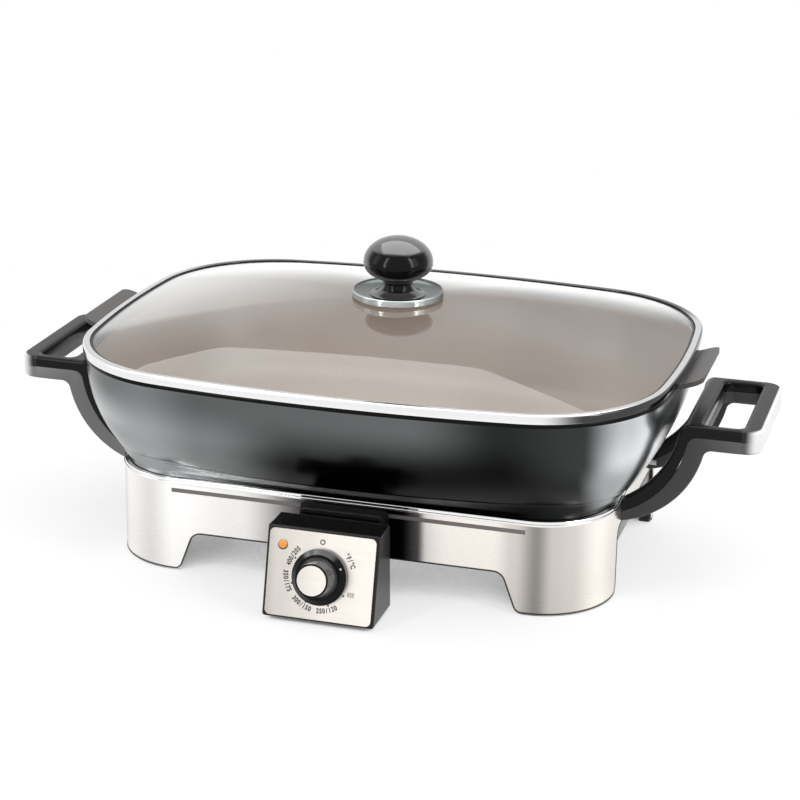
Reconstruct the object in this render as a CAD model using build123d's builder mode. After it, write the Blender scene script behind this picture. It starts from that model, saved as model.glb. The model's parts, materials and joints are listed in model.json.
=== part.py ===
from build123d import *
import math
import os

os.makedirs("parts", exist_ok=True)

# An electric skillet: a glass-lidded pan that lifts off a steel heating base, with a plug-in
# temperature control at the front. Millimetres, +Z up, +X to the right, the front faces -Y.
# Heights are measured from the table. Every "front" distance is measured from the pan's centre.

# Clearances
GAP_STATIC = 0.2
GAP_SLIDE = 0.3
GAP_REST = 0.1
GAP_BORE = 0.05
GAP_SOCKET = 1.0
OVERCUT = 5.0

# Apron's outline, which the lid and the pan follow
APRON_LENGTH = 345.0
APRON_WIDTH = 238.4

# Lid and pan outline: four shallow bowed sides joined by large corners
LID_PAST_ENDS = 32.5
LID_PAST_SIDES = 37.8
LONG_SIDE_BOW = 22.0
SHORT_SIDE_BOW = 17.0
LID_CORNER = 92.0

# Heights of the stack, from the table up
FOOT_LIFT = 0.6
APRON_TOP = 62.6
PAN_BOTTOM = 62.1
TRIM_TOP = 66.4
CREASE_HEIGHT = 78.0
PAN_TOP = 142.2

# Pan casting
PAN_WALL = 3.0
PAN_FLOOR = 4.0
LIP_DEPTH = 2.7
LIP_INSET = 0.6
LIP_OVERHANG = 1.3
CREASE_PAST_ENDS = 10.9
CREASE_PAST_SIDES = 12.6
CREASE_LONG_BOW = 25.0
CREASE_SHORT_BOW = 14.4
CREASE_CORNER = 60.0
WALL_CURVE = 2.27
WALL_STEPS = 5
FLOOR_ROUND_STEP = 24.0
FLOOR_ROUND_KNEE = 10.0
FLOOR_KNEE_RISE = 5.0
PAN_FOOT_BOW = 0.6
EAR_HALF_WIDTH = 39.0
EAR_REACH = 14.0
EAR_RISE = 4.8
EAR_THICKNESS = 3.4
EAR_CORNER = 7.0
EAR_ROOT = 3.5

# Lid
BAND_HEIGHT = 6.0
BAND_WALL = 1.0
BAND_TOP_LIP = 5.0
SPIGOT_DEPTH = 5.0
SPIGOT_WALL = 1.2
GLASS_EDGE = 3.4
GLASS_SKIN = 3.6
GLASS_RISE = 25.0
GLASS_BORDER = 6.0
GLASS_CROWN_SHARE = 0.15
GLASS_HOLE_RADIUS = 4.0

# Knob
KNOB_RADIUS = 24.0
KNOB_DOME = 17.6
KNOB_NECK_RADIUS = 10.3
KNOB_NECK_LENGTH = 3.5
KNOB_BULGE = 11.0
KNOB_FOOT_RADIUS = 19.2
KNOB_FOOT_EDGE = 0.6
KNOB_FOOT_FLARE = 8.6
KNOB_UNDERCUT = 14.4
COLLAR_RADIUS = 31.5
COLLAR_HEIGHT = 4.4
COLLAR_SHEET = 0.9
COLLAR_RING_WIDTH = 1.6
COLLAR_STEP = 0.3
GASKET_RADIUS = 14.0
GASKET_THICKNESS = 1.3
KNOB_SCREW_RADIUS = 2.5
KNOB_SCREW_GRIP = 19.0
KNOB_SCREW_HEAD = 5.0
KNOB_SCREW_HEAD_HEIGHT = 2.6
KNOB_SCREW_HEAD_ROUND = 0.8
KNOB_INSERT_RADIUS = 4.0
KNOB_INSERT_LENGTH = 14.0
WASHER_RADIUS = 9.0
WASHER_THICKNESS = 1.5

# Apron, the pressed steel skirt with four corner legs
APRON_CORNER = 50.3
SHEET = 1.5
ARCH_TOP = 28.0
FRONT_ARCH_TOP_HALF = 107.0
FRONT_ARCH_FOOT_HALF = 117.0
END_ARCH_HALF = 64.5
END_ARCH_TOP = 46.0
ARCH_FILLET = 8.0
LEG_FILLET = 6.0
GROOVE_HEIGHT = 2.9
GROOVE_DEPTH = 0.6
GROOVE_DROP = 3.0
TRIM_PROUD = 0.9
TRIM_INSIDE = 1.0
TRIM_STEP = 0.6
BEAD_ROUND = 0.7

# Feet inside the legs
FOOT_PAD_HEIGHT = 10.0
FOOT_PAD_WIDTH = 7.0
FOOT_PAD_MARGIN = 3.0

# Tray under the heating plate
TRAY_FLOOR = 33.0
TRAY_SHEET = 1.2
TRAY_WALL_TOP = 47.0

# Cast heating plate with its ribbed element path
PLATE_IN_ENDS = 22.5
PLATE_IN_SIDES = 24.2
PLATE_CORNER = 40.0
PLATE_THICKNESS = 4.0
ELEMENT_RADIUS = 3.5
ELEMENT_IN_ENDS = 52.5
ELEMENT_IN_FRONT = 53.2
ELEMENT_IN_REAR = 51.2
ELEMENT_BEND = 18.0
RIB_WIDTH = 14.0
CLIP_LENGTH = 20.0
CLIP_WIDTH = 10.0
CLIP_SHEET = 1.2
CLIP_CORNER = 2.5
CLIP_SPREAD = 120.0
POST_RADIUS = 4.0
POST_IN_ENDS = 87.5
POST_IN_SIDES = 84.2
POST_SCREW_RADIUS = 1.9
POST_SCREW_HEAD = 3.6
POST_SCREW_HEAD_HEIGHT = 2.0
POST_SCREW_GRIP = 9.0

# Socket that takes the control's plug
SOCKET_HEIGHT = 48.0
PLUG_WIDTH = 50.0
PLUG_HEIGHT = 17.0
SOCKET_WALL = 2.2
SOCKET_CORNER = 3.0
SOCKET_PROUD = 8.8
SOCKET_LENGTH = 30.0
SOCKET_FLANGE = 2.0
SOCKET_FLANGE_SHEET = 1.4
INSULATOR_THICKNESS = 6.0
PLUG_WALL = 2.0
PLUG_CORNER = 2.5
PLUG_BLOCK_LENGTH = 28.0
PIN_RADIUS = 2.5
PIN_SPREAD = 22.0
PIN_REACH = 23.0
PIN_TAIL = 10.0
PROBE_RADIUS = 3.2
PROBE_REACH = 58.0
PROBE_SEAT = 26.0
BOSS_WALL = 3.2

# Side handles: an L-shaped side profile in two layers, opened up into a loop and two arms
HANDLE_REACH = 89.5
HANDLE_WIDTH = 109.0
HANDLE_TOP = 119.5
HANDLE_THICKNESS = 16.3
HANDLE_CAP_DEPTH = 7.6
HANDLE_BAR = 13.0
HANDLE_SIDE_BAR = 7.0
HANDLE_INNER_BAR = 14.0
HANDLE_CORNER = 9.0
HANDLE_HOLE_CORNER = 4.0
HANDLE_TOP_ROUND = 1.2
ARM_FOOT_DROP = 15.0
ARM_SPLIT_DROP = 7.9
ARM_TOP_RISE = 1.5
ARM_LOWER_REACH = 52.6
ARM_SPLIT_REACH = 41.7
ARM_UPPER_REACH = 36.5
ARM_LOWER_BOW = 12.0
ARM_SPLIT_BOW = 10.0
ARM_UPPER_BOW = 8.1
ARM_LOWER_FILLET = 6.0
ARM_SPLIT_FILLET = 7.0
ARM_UPPER_FILLET = 7.0
LAYER_GROOVE = 0.2
BOSS_REACH = 8.0
BOSS_INWARD = 9.0
BOSS_DROP = 1.8
BOSS_HEIGHT = 11.0
HANDLE_SCREW_RADIUS = 1.9
HANDLE_SCREW_HEAD = 3.4
HANDLE_SCREW_HEAD_HEIGHT = 1.8
HANDLE_SCREW_GRIP = 7.5
ACCENT_WALL = 2.0
ACCENT_RETURN = 13.0
ACCENT_INSET = 0.4

# Temperature control, a wedge whose face leans back
CONTROL_WIDTH = 75.6
CONTROL_CLEARANCE = 2.5
CONTROL_TOP = 61.5
CONTROL_FACE_FRONT = 59.0
CONTROL_FACE_LEAN = 14.7
CONTROL_TOP_DEPTH = 23.2
CONTROL_REAR_LEAN = 3.0
CONTROL_ROUND = 2.0
CONTROL_WALL = 2.4
BEZEL_DEPTH = 7.0
FACE_MARGIN = 2.0
FACE_SHEET = 0.8
FACE_CORNER = 3.5
LAMP_ACROSS = 26.6
LAMP_UP = 18.3
LENS_RADIUS = 3.0
LENS_FLANGE = 1.0
LENS_PROUD = 1.2
LAMP_RADIUS = 2.4
LAMP_LENGTH = 9.0
CONTACT_RADIUS = 4.0
CONTACT_LENGTH = 24.0
CORD_INLET_RADIUS = 4.0
CORD_GLAND_WALL = 1.8
CORD_GLAND_LENGTH = 7.0
CORD_INLET_ACROSS = 22.0
CORD_INLET_HEIGHT = 14.0
CONTROL_POST_RADIUS = 4.0
CONTROL_POST_ACROSS = 64.0
CONTROL_POST_LOW = 8.5
CONTROL_POST_HIGH = 55.5
CONTROL_SCREW_RADIUS = 1.5
CONTROL_SCREW_HEAD = 2.8
CONTROL_SCREW_HEAD_HEIGHT = 1.6
CONTROL_SCREW_GRIP = 6.0
CONTROL_SCREW_LENGTH = 9.5

# Thermostat inside the control
THERMO_PLATE_WIDTH = 34.0
THERMO_PLATE_HEIGHT = 22.0
THERMO_SHEET = 1.6
THERMO_DEPTH = 8.0
THERMO_POST_RADIUS = 2.5
THERMO_POST_ACROSS = 27.0
STACK_WIDTH = 9.0
STACK_DEPTH = 5.6
BLADE_WIDTH = 6.0
BLADE_SHEET = 0.6
BLADE_LENGTH = 27.0
BLADE_LIFT = 1.4
CONTACT_POINT_RADIUS = 1.6
CONTACT_POINT_HEIGHT = 1.2

# Dial
DIAL_SKIRT_RADIUS = 18.4
DIAL_GAP = 0.5
DIAL_SKIRT_HEIGHT = 2.4
DIAL_BEVEL = 2.6
DIAL_GRIP_RADIUS = 15.0
DIAL_GRIP_FOOT = 13.2
DIAL_GRIP_TOP = 10.9
DIAL_HEIGHT = 17.6
DIAL_CAP_RADIUS = 9.7
DIAL_CAP_DEPTH = 1.6
DIAL_CAP_PROUD = 0.4
DIAL_SHAFT_RADIUS = 3.0
DIAL_SHAFT_SOCKET = 11.0
DIAL_COLLAR_RADIUS = 4.6
DIAL_COLLAR_HEIGHT = 2.0

# Worked out from the sizes above
LID_LENGTH = APRON_LENGTH + 2 * LID_PAST_ENDS
LID_WIDTH = APRON_WIDTH + 2 * LID_PAST_SIDES
CREASE_LENGTH = APRON_LENGTH + 2 * CREASE_PAST_ENDS
CREASE_WIDTH = APRON_WIDTH + 2 * CREASE_PAST_SIDES
LID_BOTTOM = PAN_TOP + GAP_REST
LID_BAND_TOP = LID_BOTTOM + BAND_HEIGHT
LID_SHAPE = (LID_LENGTH / 2, LID_WIDTH / 2, LONG_SIDE_BOW, SHORT_SIDE_BOW, LID_CORNER)
CREASE_SHAPE = (CREASE_LENGTH / 2, CREASE_WIDTH / 2, CREASE_LONG_BOW, CREASE_SHORT_BOW, CREASE_CORNER)
WALL_TOP = PAN_TOP - LIP_DEPTH
TRIM_HOLE_INSET = SHEET + TRIM_INSIDE
FOOT_INSET = TRIM_HOLE_INSET + GAP_SLIDE
FOOT_SHAPE = (
    APRON_LENGTH / 2 - FOOT_INSET,
    APRON_WIDTH / 2 - FOOT_INSET,
    PAN_FOOT_BOW,
    PAN_FOOT_BOW,
    APRON_CORNER - FOOT_INSET,
)
PLATE_TOP = PAN_BOTTOM - GAP_REST
PLATE_BOTTOM = PLATE_TOP - PLATE_THICKNESS
RIB_BOTTOM = SOCKET_HEIGHT - ELEMENT_RADIUS
PLATE_LENGTH = APRON_LENGTH - 2 * PLATE_IN_ENDS
PLATE_WIDTH = APRON_WIDTH - 2 * PLATE_IN_SIDES
ELEMENT_HALF_LENGTH = APRON_LENGTH / 2 - ELEMENT_IN_ENDS
ELEMENT_FRONT = APRON_WIDTH / 2 - ELEMENT_IN_FRONT
ELEMENT_REAR = APRON_WIDTH / 2 - ELEMENT_IN_REAR
POST_SPREAD_X = APRON_LENGTH - 2 * POST_IN_ENDS
POST_SPREAD_Y = APRON_WIDTH - 2 * POST_IN_SIDES
APRON_FRONT = APRON_WIDTH / 2
APRON_END = APRON_LENGTH / 2
SOCKET_FRONT = APRON_FRONT + SOCKET_PROUD
SOCKET_BACK = SOCKET_FRONT - SOCKET_LENGTH
SOCKET_HALF_WIDTH = PLUG_WIDTH / 2 + GAP_SOCKET
SOCKET_HALF_HEIGHT = PLUG_HEIGHT / 2 + GAP_SOCKET
INSULATOR_FRONT = SOCKET_BACK + INSULATOR_THICKNESS
PLUG_TIP = INSULATOR_FRONT + 2 * GAP_SOCKET
PIN_BACK = SOCKET_BACK - PIN_TAIL
PIN_FRONT = INSULATOR_FRONT + PIN_REACH
PROBE_TIP = PLUG_TIP - PROBE_REACH
CONTROL_FACE_BOTTOM_FRONT = APRON_FRONT + CONTROL_FACE_FRONT
CONTROL_FACE_TOP_FRONT = CONTROL_FACE_BOTTOM_FRONT - CONTROL_FACE_LEAN
CONTROL_REAR_TOP = CONTROL_FACE_TOP_FRONT - CONTROL_TOP_DEPTH
CONTROL_REAR_BOTTOM = CONTROL_REAR_TOP - CONTROL_REAR_LEAN
CONTROL_HEIGHT = CONTROL_TOP - CONTROL_CLEARANCE
FACE_SLOPE = math.hypot(CONTROL_FACE_LEAN, CONTROL_HEIGHT)
FACE_COS = CONTROL_HEIGHT / FACE_SLOPE
FACE_SIN = CONTROL_FACE_LEAN / FACE_SLOPE
FACE_MID_FRONT = (CONTROL_FACE_BOTTOM_FRONT + CONTROL_FACE_TOP_FRONT) / 2
FACE_MID_HEIGHT = (CONTROL_TOP + CONTROL_CLEARANCE) / 2
DIAL_FACE = DIAL_GAP + DIAL_HEIGHT + DIAL_CAP_PROUD
FRONT_REACH = FACE_MID_FRONT + DIAL_FACE * FACE_COS + DIAL_CAP_RADIUS * FACE_SIN
PAN_Y = (FRONT_REACH - LID_WIDTH / 2) / 2


def level(height):
    """Horizontal plane at a height above the table, centred under the pan."""
    return Plane(origin=(0, PAN_Y, height))


def upright(front):
    """Vertical plane across the object, a distance in front of the pan's centre."""
    return Plane(origin=(0, PAN_Y - front, 0), x_dir=(1, 0, 0), z_dir=(0, -1, 0))


def profile_plane(across):
    """Vertical plane along the object's depth; sketch x is front to back and y is height."""
    return Plane(origin=(across, PAN_Y, 0), x_dir=(0, 1, 0), z_dir=(1, 0, 0))


def face_plane(outward):
    """Plane parallel to the control's leaning face, a distance out from it."""
    normal = Vector(0, -FACE_COS, FACE_SIN)
    middle = Vector(0, PAN_Y - FACE_MID_FRONT, FACE_MID_HEIGHT)
    return Plane(origin=middle + normal * outward, x_dir=(1, 0, 0), z_dir=normal)


def save(part, name):
    """Label a finished part and write it as its own STEP file."""
    part.label = name
    export_step(part, f"parts/{name}.step")


def blended(first, second, share):
    """Outline sizes that lie a share of the way from the first shape to the second."""
    return tuple(a + (b - a) * share for a, b in zip(first, second))


def scaled(shape, share):
    """The same outline drawn smaller or larger."""
    return tuple(value * share for value in shape)


def bowed_outline(shape, inset=0.0, mode=Mode.ADD):
    """Add a closed face with four bowed sides and round corners to the current sketch.

    Eight tangent arcs bound it. Each side is a circle of large radius that reaches the half
    length or half width in its middle; the corner circle touches both from inside. An inset
    shrinks every radius by the same amount, so the result is an exact parallel curve.
    """
    half_x, half_y, bow_long, bow_short, corner = shape
    radius_long = (half_x**2 + bow_long**2) / (2 * bow_long)
    radius_short = (half_y**2 + bow_short**2) / (2 * bow_short)
    centre_long = Vector(0, half_y - radius_long)
    centre_short = Vector(half_x - radius_short, 0)
    reach_long = radius_long - corner
    reach_short = radius_short - corner
    between = centre_short - centre_long
    along = (reach_long**2 - reach_short**2 + between.length**2) / (2 * between.length)
    across = math.sqrt(reach_long**2 - along**2)
    unit = between.normalized()
    centre = centre_long + unit * along + Vector(unit.Y, -unit.X) * across
    out_long = (centre - centre_long).normalized()
    out_short = (centre - centre_short).normalized()
    on_long = centre_long + out_long * (radius_long - inset)
    on_short = centre_short + out_short * (radius_short - inset)
    on_corner = centre + (out_long + out_short).normalized() * (corner - inset)
    top = half_y - inset
    end = half_x - inset
    with BuildLine() as outline:
        for sx, sy in ((1, 1), (1, -1), (-1, -1), (-1, 1)):
            long_point = (sx * on_long.X, sy * on_long.Y)
            short_point = (sx * on_short.X, sy * on_short.Y)
            ThreePointArc(long_point, (sx * on_corner.X, sy * on_corner.Y), short_point)
        for sy in (1, -1):
            ThreePointArc((-on_long.X, sy * on_long.Y), (0, sy * top), (on_long.X, sy * on_long.Y))
        for sx in (1, -1):
            ThreePointArc((sx * on_short.X, on_short.Y), (sx * end, 0), (sx * on_short.X, -on_short.Y))
    make_face(outline.edges(), mode=mode)


def apron_outline(inset=0.0, mode=Mode.ADD):
    """Add the apron's rounded rectangle, drawn in by an inset, to the current sketch."""
    RectangleRounded(
        APRON_LENGTH - 2 * inset, APRON_WIDTH - 2 * inset, APRON_CORNER - inset, mode=mode
    )


def quarter_ellipse(start, corner, end):
    """Quarter ellipse from start to end, tangent to the two sides that meet at the corner."""
    return Bezier(start, corner, end, weights=(1, math.sqrt(2) / 2, 1))


# Pan: a cast bowl with a crease above its foot and a lip, and two lifting ears
WALL_SHAPE = (
    LID_LENGTH / 2 - LIP_INSET - LIP_OVERHANG,
    LID_WIDTH / 2 - LIP_INSET - LIP_OVERHANG,
    LONG_SIDE_BOW,
    SHORT_SIDE_BOW,
    LID_CORNER - LIP_INSET - LIP_OVERHANG,
)


def wall_outline(height, inset=0.0):
    """Pan wall at a height: it leans in towards the crease by a power of the depth."""
    depth = (PAN_TOP - height) / (PAN_TOP - CREASE_HEIGHT)
    bowed_outline(blended(WALL_SHAPE, CREASE_SHAPE, depth**WALL_CURVE), inset)


WALL_LEVELS = [
    CREASE_HEIGHT + (WALL_TOP - CREASE_HEIGHT) * step / WALL_STEPS for step in range(WALL_STEPS + 1)
]
CAVITY_FLOOR = PAN_BOTTOM + PAN_FLOOR

with BuildPart() as pan:
    with BuildSketch(level(PAN_BOTTOM)):
        bowed_outline(FOOT_SHAPE)
    extrude(amount=TRIM_TOP - PAN_BOTTOM)
    with BuildSketch(level(TRIM_TOP)):
        bowed_outline(FOOT_SHAPE)
    with BuildSketch(level(CREASE_HEIGHT)):
        bowed_outline(CREASE_SHAPE)
    loft(ruled=True)
    for height in WALL_LEVELS:
        with BuildSketch(level(height)):
            wall_outline(height)
    loft()
    with BuildSketch(level(WALL_TOP)):
        bowed_outline(LID_SHAPE, LIP_INSET)
    extrude(amount=LIP_DEPTH)
    # Hollow: the wall's own curve down to a knee, then round to the flat floor
    with BuildSketch(level(CAVITY_FLOOR)):
        wall_outline(CREASE_HEIGHT, PAN_WALL + FLOOR_ROUND_STEP)
    with BuildSketch(level(CAVITY_FLOOR + FLOOR_KNEE_RISE)):
        wall_outline(CREASE_HEIGHT, PAN_WALL + FLOOR_ROUND_KNEE)
    for height in WALL_LEVELS:
        with BuildSketch(level(height)):
            wall_outline(height, PAN_WALL)
    with BuildSketch(level(PAN_TOP + OVERCUT)):
        wall_outline(WALL_TOP, PAN_WALL)
    loft(mode=Mode.SUBTRACT)
save(pan.part, "pan")

# Ears slope up and outwards from under the lid's band, and end on the pan's wall
LIP_END = LID_LENGTH / 2 + GAP_SLIDE
EAR_END = LIP_END + EAR_REACH

with BuildPart() as pan_ears:
    with BuildSketch(upright(0)):
        with BuildLine():
            Polyline(
                (LIP_END - EAR_ROOT, PAN_TOP),
                (LIP_END, PAN_TOP),
                (EAR_END, PAN_TOP + EAR_RISE),
                (EAR_END, PAN_TOP + EAR_RISE - EAR_THICKNESS),
                (LIP_END, PAN_TOP - EAR_THICKNESS),
                (LIP_END - EAR_ROOT, PAN_TOP - EAR_THICKNESS),
                close=True,
            )
        make_face()
        mirror(about=Plane.YZ)
    extrude(amount=EAR_HALF_WIDTH, both=True)
    outer_corners = pan_ears.edges().filter_by(Axis.Z).filter_by(
        lambda edge: abs(abs(edge.center().X) - EAR_END) < GAP_REST
    )
    fillet(outer_corners, EAR_CORNER)
    add(pan.part, mode=Mode.SUBTRACT)
save(pan_ears.part, "pan_ears")

# Lid: a steel band grips the edge of a domed glass, and a spigot under it finds the pan's mouth
SPIGOT_INSET = LIP_INSET + LIP_OVERHANG + PAN_WALL + GAP_SOCKET
BAND_FLOOR = LID_BOTTOM + BAND_WALL
BAND_ROOF = LID_BAND_TOP - BAND_WALL

with BuildPart() as lid_rim:
    with BuildSketch(level(LID_BOTTOM)):
        bowed_outline(LID_SHAPE)
        bowed_outline(LID_SHAPE, BAND_WALL, mode=Mode.SUBTRACT)
    extrude(amount=BAND_HEIGHT)
    with BuildSketch(level(BAND_ROOF)):
        bowed_outline(LID_SHAPE)
        bowed_outline(LID_SHAPE, BAND_TOP_LIP, mode=Mode.SUBTRACT)
    extrude(amount=BAND_WALL)
    with BuildSketch(level(LID_BOTTOM)):
        bowed_outline(LID_SHAPE)
        bowed_outline(LID_SHAPE, SPIGOT_INSET + SPIGOT_WALL, mode=Mode.SUBTRACT)
    extrude(amount=BAND_WALL)
    with BuildSketch(level(LID_BOTTOM)):
        bowed_outline(LID_SHAPE, SPIGOT_INSET)
        bowed_outline(LID_SHAPE, SPIGOT_INSET + SPIGOT_WALL, mode=Mode.SUBTRACT)
    extrude(amount=-SPIGOT_DEPTH)
    fillet(lid_rim.faces().sort_by(Axis.Z)[-1].outer_wire().edges(), BAND_WALL - GAP_REST)
save(lid_rim.part, "lid_rim")

GLASS_BOTTOM = BAND_FLOOR + GAP_STATIC
GLASS_SHOULDER = GLASS_BOTTOM + GLASS_EDGE
GLASS_CROWN = GLASS_SHOULDER + GLASS_RISE
CROWN_UNDERSIDE = GLASS_CROWN - GLASS_SKIN
DOME_SHARES = (1.0, 0.93, 0.82, 0.65, 0.42, GLASS_CROWN_SHARE)


def dome_shape(inset):
    """Outline at the foot of the dome, drawn in from the lid's edge."""
    half_x, half_y, bow_long, bow_short, corner = LID_SHAPE
    return (half_x - inset, half_y - inset, bow_long, bow_short, corner - inset)


def dome_height(share):
    """Height of the outer dome where its outline has shrunk to a share: a parabola."""
    return GLASS_SHOULDER + GLASS_RISE * (1 - share**2) / (1 - GLASS_CROWN_SHARE**2)


with BuildPart() as lid_glass:
    with BuildSketch(level(GLASS_BOTTOM)):
        bowed_outline(LID_SHAPE, BAND_WALL + GAP_STATIC)
    extrude(amount=GLASS_EDGE)
    for share in DOME_SHARES:
        with BuildSketch(level(dome_height(share))):
            bowed_outline(scaled(dome_shape(GLASS_BORDER), share))
    loft()
    for share in DOME_SHARES:
        with BuildSketch(level(dome_height(share) - GLASS_SKIN)):
            bowed_outline(scaled(dome_shape(GLASS_BORDER + GLASS_SKIN), share))
    loft(mode=Mode.SUBTRACT)
    with BuildSketch(level(CROWN_UNDERSIDE - OVERCUT)):
        Circle(GLASS_HOLE_RADIUS)
    extrude(amount=GLASS_SKIN + 2 * OVERCUT, mode=Mode.SUBTRACT)
save(lid_glass.part, "lid_glass")

# Knob: a turned ball on a waisted neck, whose foot stands in a dished steel collar
COLLAR_BOTTOM = GLASS_CROWN + GASKET_THICKNESS
COLLAR_TOP = COLLAR_BOTTOM + COLLAR_HEIGHT
KNOB_SEAT = COLLAR_BOTTOM + COLLAR_SHEET
KNOB_NECK = KNOB_SEAT + KNOB_FOOT_FLARE
KNOB_EQUATOR = KNOB_NECK + KNOB_UNDERCUT
WASHER_BOTTOM = CROWN_UNDERSIDE - WASHER_THICKNESS
COLLAR_DISC_RADIUS = COLLAR_RADIUS - COLLAR_RING_WIDTH
LID_AXIS = Axis((0, PAN_Y, 0), (0, 0, 1))

neck = (KNOB_NECK_RADIUS, KNOB_NECK)
above_neck = (KNOB_NECK_RADIUS, KNOB_NECK + KNOB_NECK_LENGTH)
below_equator = (KNOB_RADIUS, KNOB_EQUATOR - KNOB_BULGE)
equator = (KNOB_RADIUS, KNOB_EQUATOR)
knob_top = (0, KNOB_EQUATOR + KNOB_DOME)

with BuildPart() as lid_knob:
    with BuildSketch(upright(0)):
        with BuildLine():
            foot_edge = Line((KNOB_FOOT_RADIUS, KNOB_SEAT), (KNOB_FOOT_RADIUS, KNOB_SEAT + KNOB_FOOT_EDGE))
            quarter_ellipse(foot_edge @ 1, (KNOB_NECK_RADIUS, KNOB_SEAT + KNOB_FOOT_EDGE), neck)
            Bezier(neck, above_neck, below_equator, equator)
            quarter_ellipse(equator, (KNOB_RADIUS, knob_top[1]), knob_top)
            Polyline(knob_top, (0, KNOB_SEAT), foot_edge @ 0)
        make_face()
    revolve(axis=LID_AXIS)
    with BuildSketch(level(KNOB_SEAT)):
        Circle(KNOB_INSERT_RADIUS + GAP_BORE)
    extrude(amount=KNOB_INSERT_LENGTH + GAP_STATIC, mode=Mode.SUBTRACT)
save(lid_knob.part, "lid_knob")

dish_start = (KNOB_FOOT_RADIUS + GAP_STATIC, KNOB_SEAT)
dish_end = (COLLAR_DISC_RADIUS, COLLAR_TOP - COLLAR_STEP)

with BuildPart() as knob_collar:
    with BuildSketch(upright(0)):
        with BuildLine():
            dish = quarter_ellipse(dish_start, (COLLAR_DISC_RADIUS, KNOB_SEAT), dish_end)
            Polyline(
                dish @ 1,
                (COLLAR_DISC_RADIUS, COLLAR_BOTTOM),
                (GLASS_HOLE_RADIUS, COLLAR_BOTTOM),
                (GLASS_HOLE_RADIUS, KNOB_SEAT),
                dish @ 0,
            )
        make_face()
    revolve(axis=LID_AXIS)
save(knob_collar.part, "knob_collar")

with BuildPart() as knob_collar_ring:
    with BuildSketch(level(COLLAR_BOTTOM)):
        Circle(COLLAR_RADIUS)
        Circle(COLLAR_DISC_RADIUS + GAP_BORE, mode=Mode.SUBTRACT)
    extrude(amount=COLLAR_HEIGHT)
    fillet(knob_collar_ring.faces().sort_by(Axis.Z)[-1].outer_wire().edges(), COLLAR_RING_WIDTH / 2)
save(knob_collar_ring.part, "knob_collar_ring")

with BuildPart() as knob_gasket:
    with BuildSketch(level(GLASS_CROWN)):
        Circle(GASKET_RADIUS)
        Circle(GLASS_HOLE_RADIUS, mode=Mode.SUBTRACT)
    extrude(amount=GASKET_THICKNESS)
save(knob_gasket.part, "knob_gasket")

with BuildPart() as knob_washer:
    with BuildSketch(level(WASHER_BOTTOM)):
        Circle(WASHER_RADIUS)
        Circle(KNOB_SCREW_RADIUS + GAP_STATIC, mode=Mode.SUBTRACT)
    extrude(amount=WASHER_THICKNESS)
save(knob_washer.part, "knob_washer")

with BuildPart() as knob_screw:
    with BuildSketch(level(WASHER_BOTTOM)):
        Circle(KNOB_SCREW_HEAD)
    extrude(amount=-KNOB_SCREW_HEAD_HEIGHT)
    fillet(knob_screw.faces().sort_by(Axis.Z)[0].edges(), KNOB_SCREW_HEAD_ROUND)
    with BuildSketch(level(WASHER_BOTTOM)):
        Circle(KNOB_SCREW_RADIUS)
    extrude(amount=KNOB_SCREW_GRIP)
save(knob_screw.part, "knob_screw")

with BuildPart() as knob_insert:
    with BuildSketch(level(KNOB_SEAT)):
        Circle(KNOB_INSERT_RADIUS)
        Circle(KNOB_SCREW_RADIUS + GAP_BORE, mode=Mode.SUBTRACT)
    extrude(amount=KNOB_INSERT_LENGTH)
save(knob_insert.part, "knob_insert")

# Apron: a drawn steel skirt, arched between its legs, grooved and pierced at the front
SOCKET_OUTER_HALF_WIDTH = SOCKET_HALF_WIDTH + SOCKET_WALL
SOCKET_OUTER_HALF_HEIGHT = SOCKET_HALF_HEIGHT + SOCKET_WALL
GROOVE_BOTTOM = APRON_TOP - GROOVE_DROP - GROOVE_HEIGHT
FRONT_FLAT = APRON_LENGTH / 2 - APRON_CORNER
BOSS_BOTTOM = APRON_TOP - BOSS_DROP - BOSS_HEIGHT
HANDLE_SCREW_LEVEL = BOSS_BOTTOM + BOSS_HEIGHT / 2
HANDLE_PLATE_INSIDE = HANDLE_WIDTH / 2 - HANDLE_SIDE_BAR
HANDLE_SCREW_ACROSS = HANDLE_PLATE_INSIDE - BOSS_INWARD / 2


def arch(sketch, foot_half, top_half, top):
    """Arch opening with rounded top corners and rounded leg feet, centred on the sketch."""
    wide = foot_half + ARCH_FILLET + LEG_FILLET
    with BuildLine() as outline:
        Polyline(
            (-wide, -OVERCUT),
            (-wide, FOOT_LIFT),
            (-foot_half, FOOT_LIFT),
            (-top_half, top),
            (top_half, top),
            (foot_half, FOOT_LIFT),
            (wide, FOOT_LIFT),
            (wide, -OVERCUT),
            close=True,
        )
    make_face(outline.edges())
    fillet(sketch.vertices().filter_by(lambda v: abs(v.Y - top) < GAP_BORE), ARCH_FILLET)
    legs = sketch.vertices().filter_by(
        lambda v: abs(v.Y - FOOT_LIFT) < GAP_BORE and abs(abs(v.X) - foot_half) < GAP_BORE
    )
    fillet(legs, LEG_FILLET)


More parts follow.
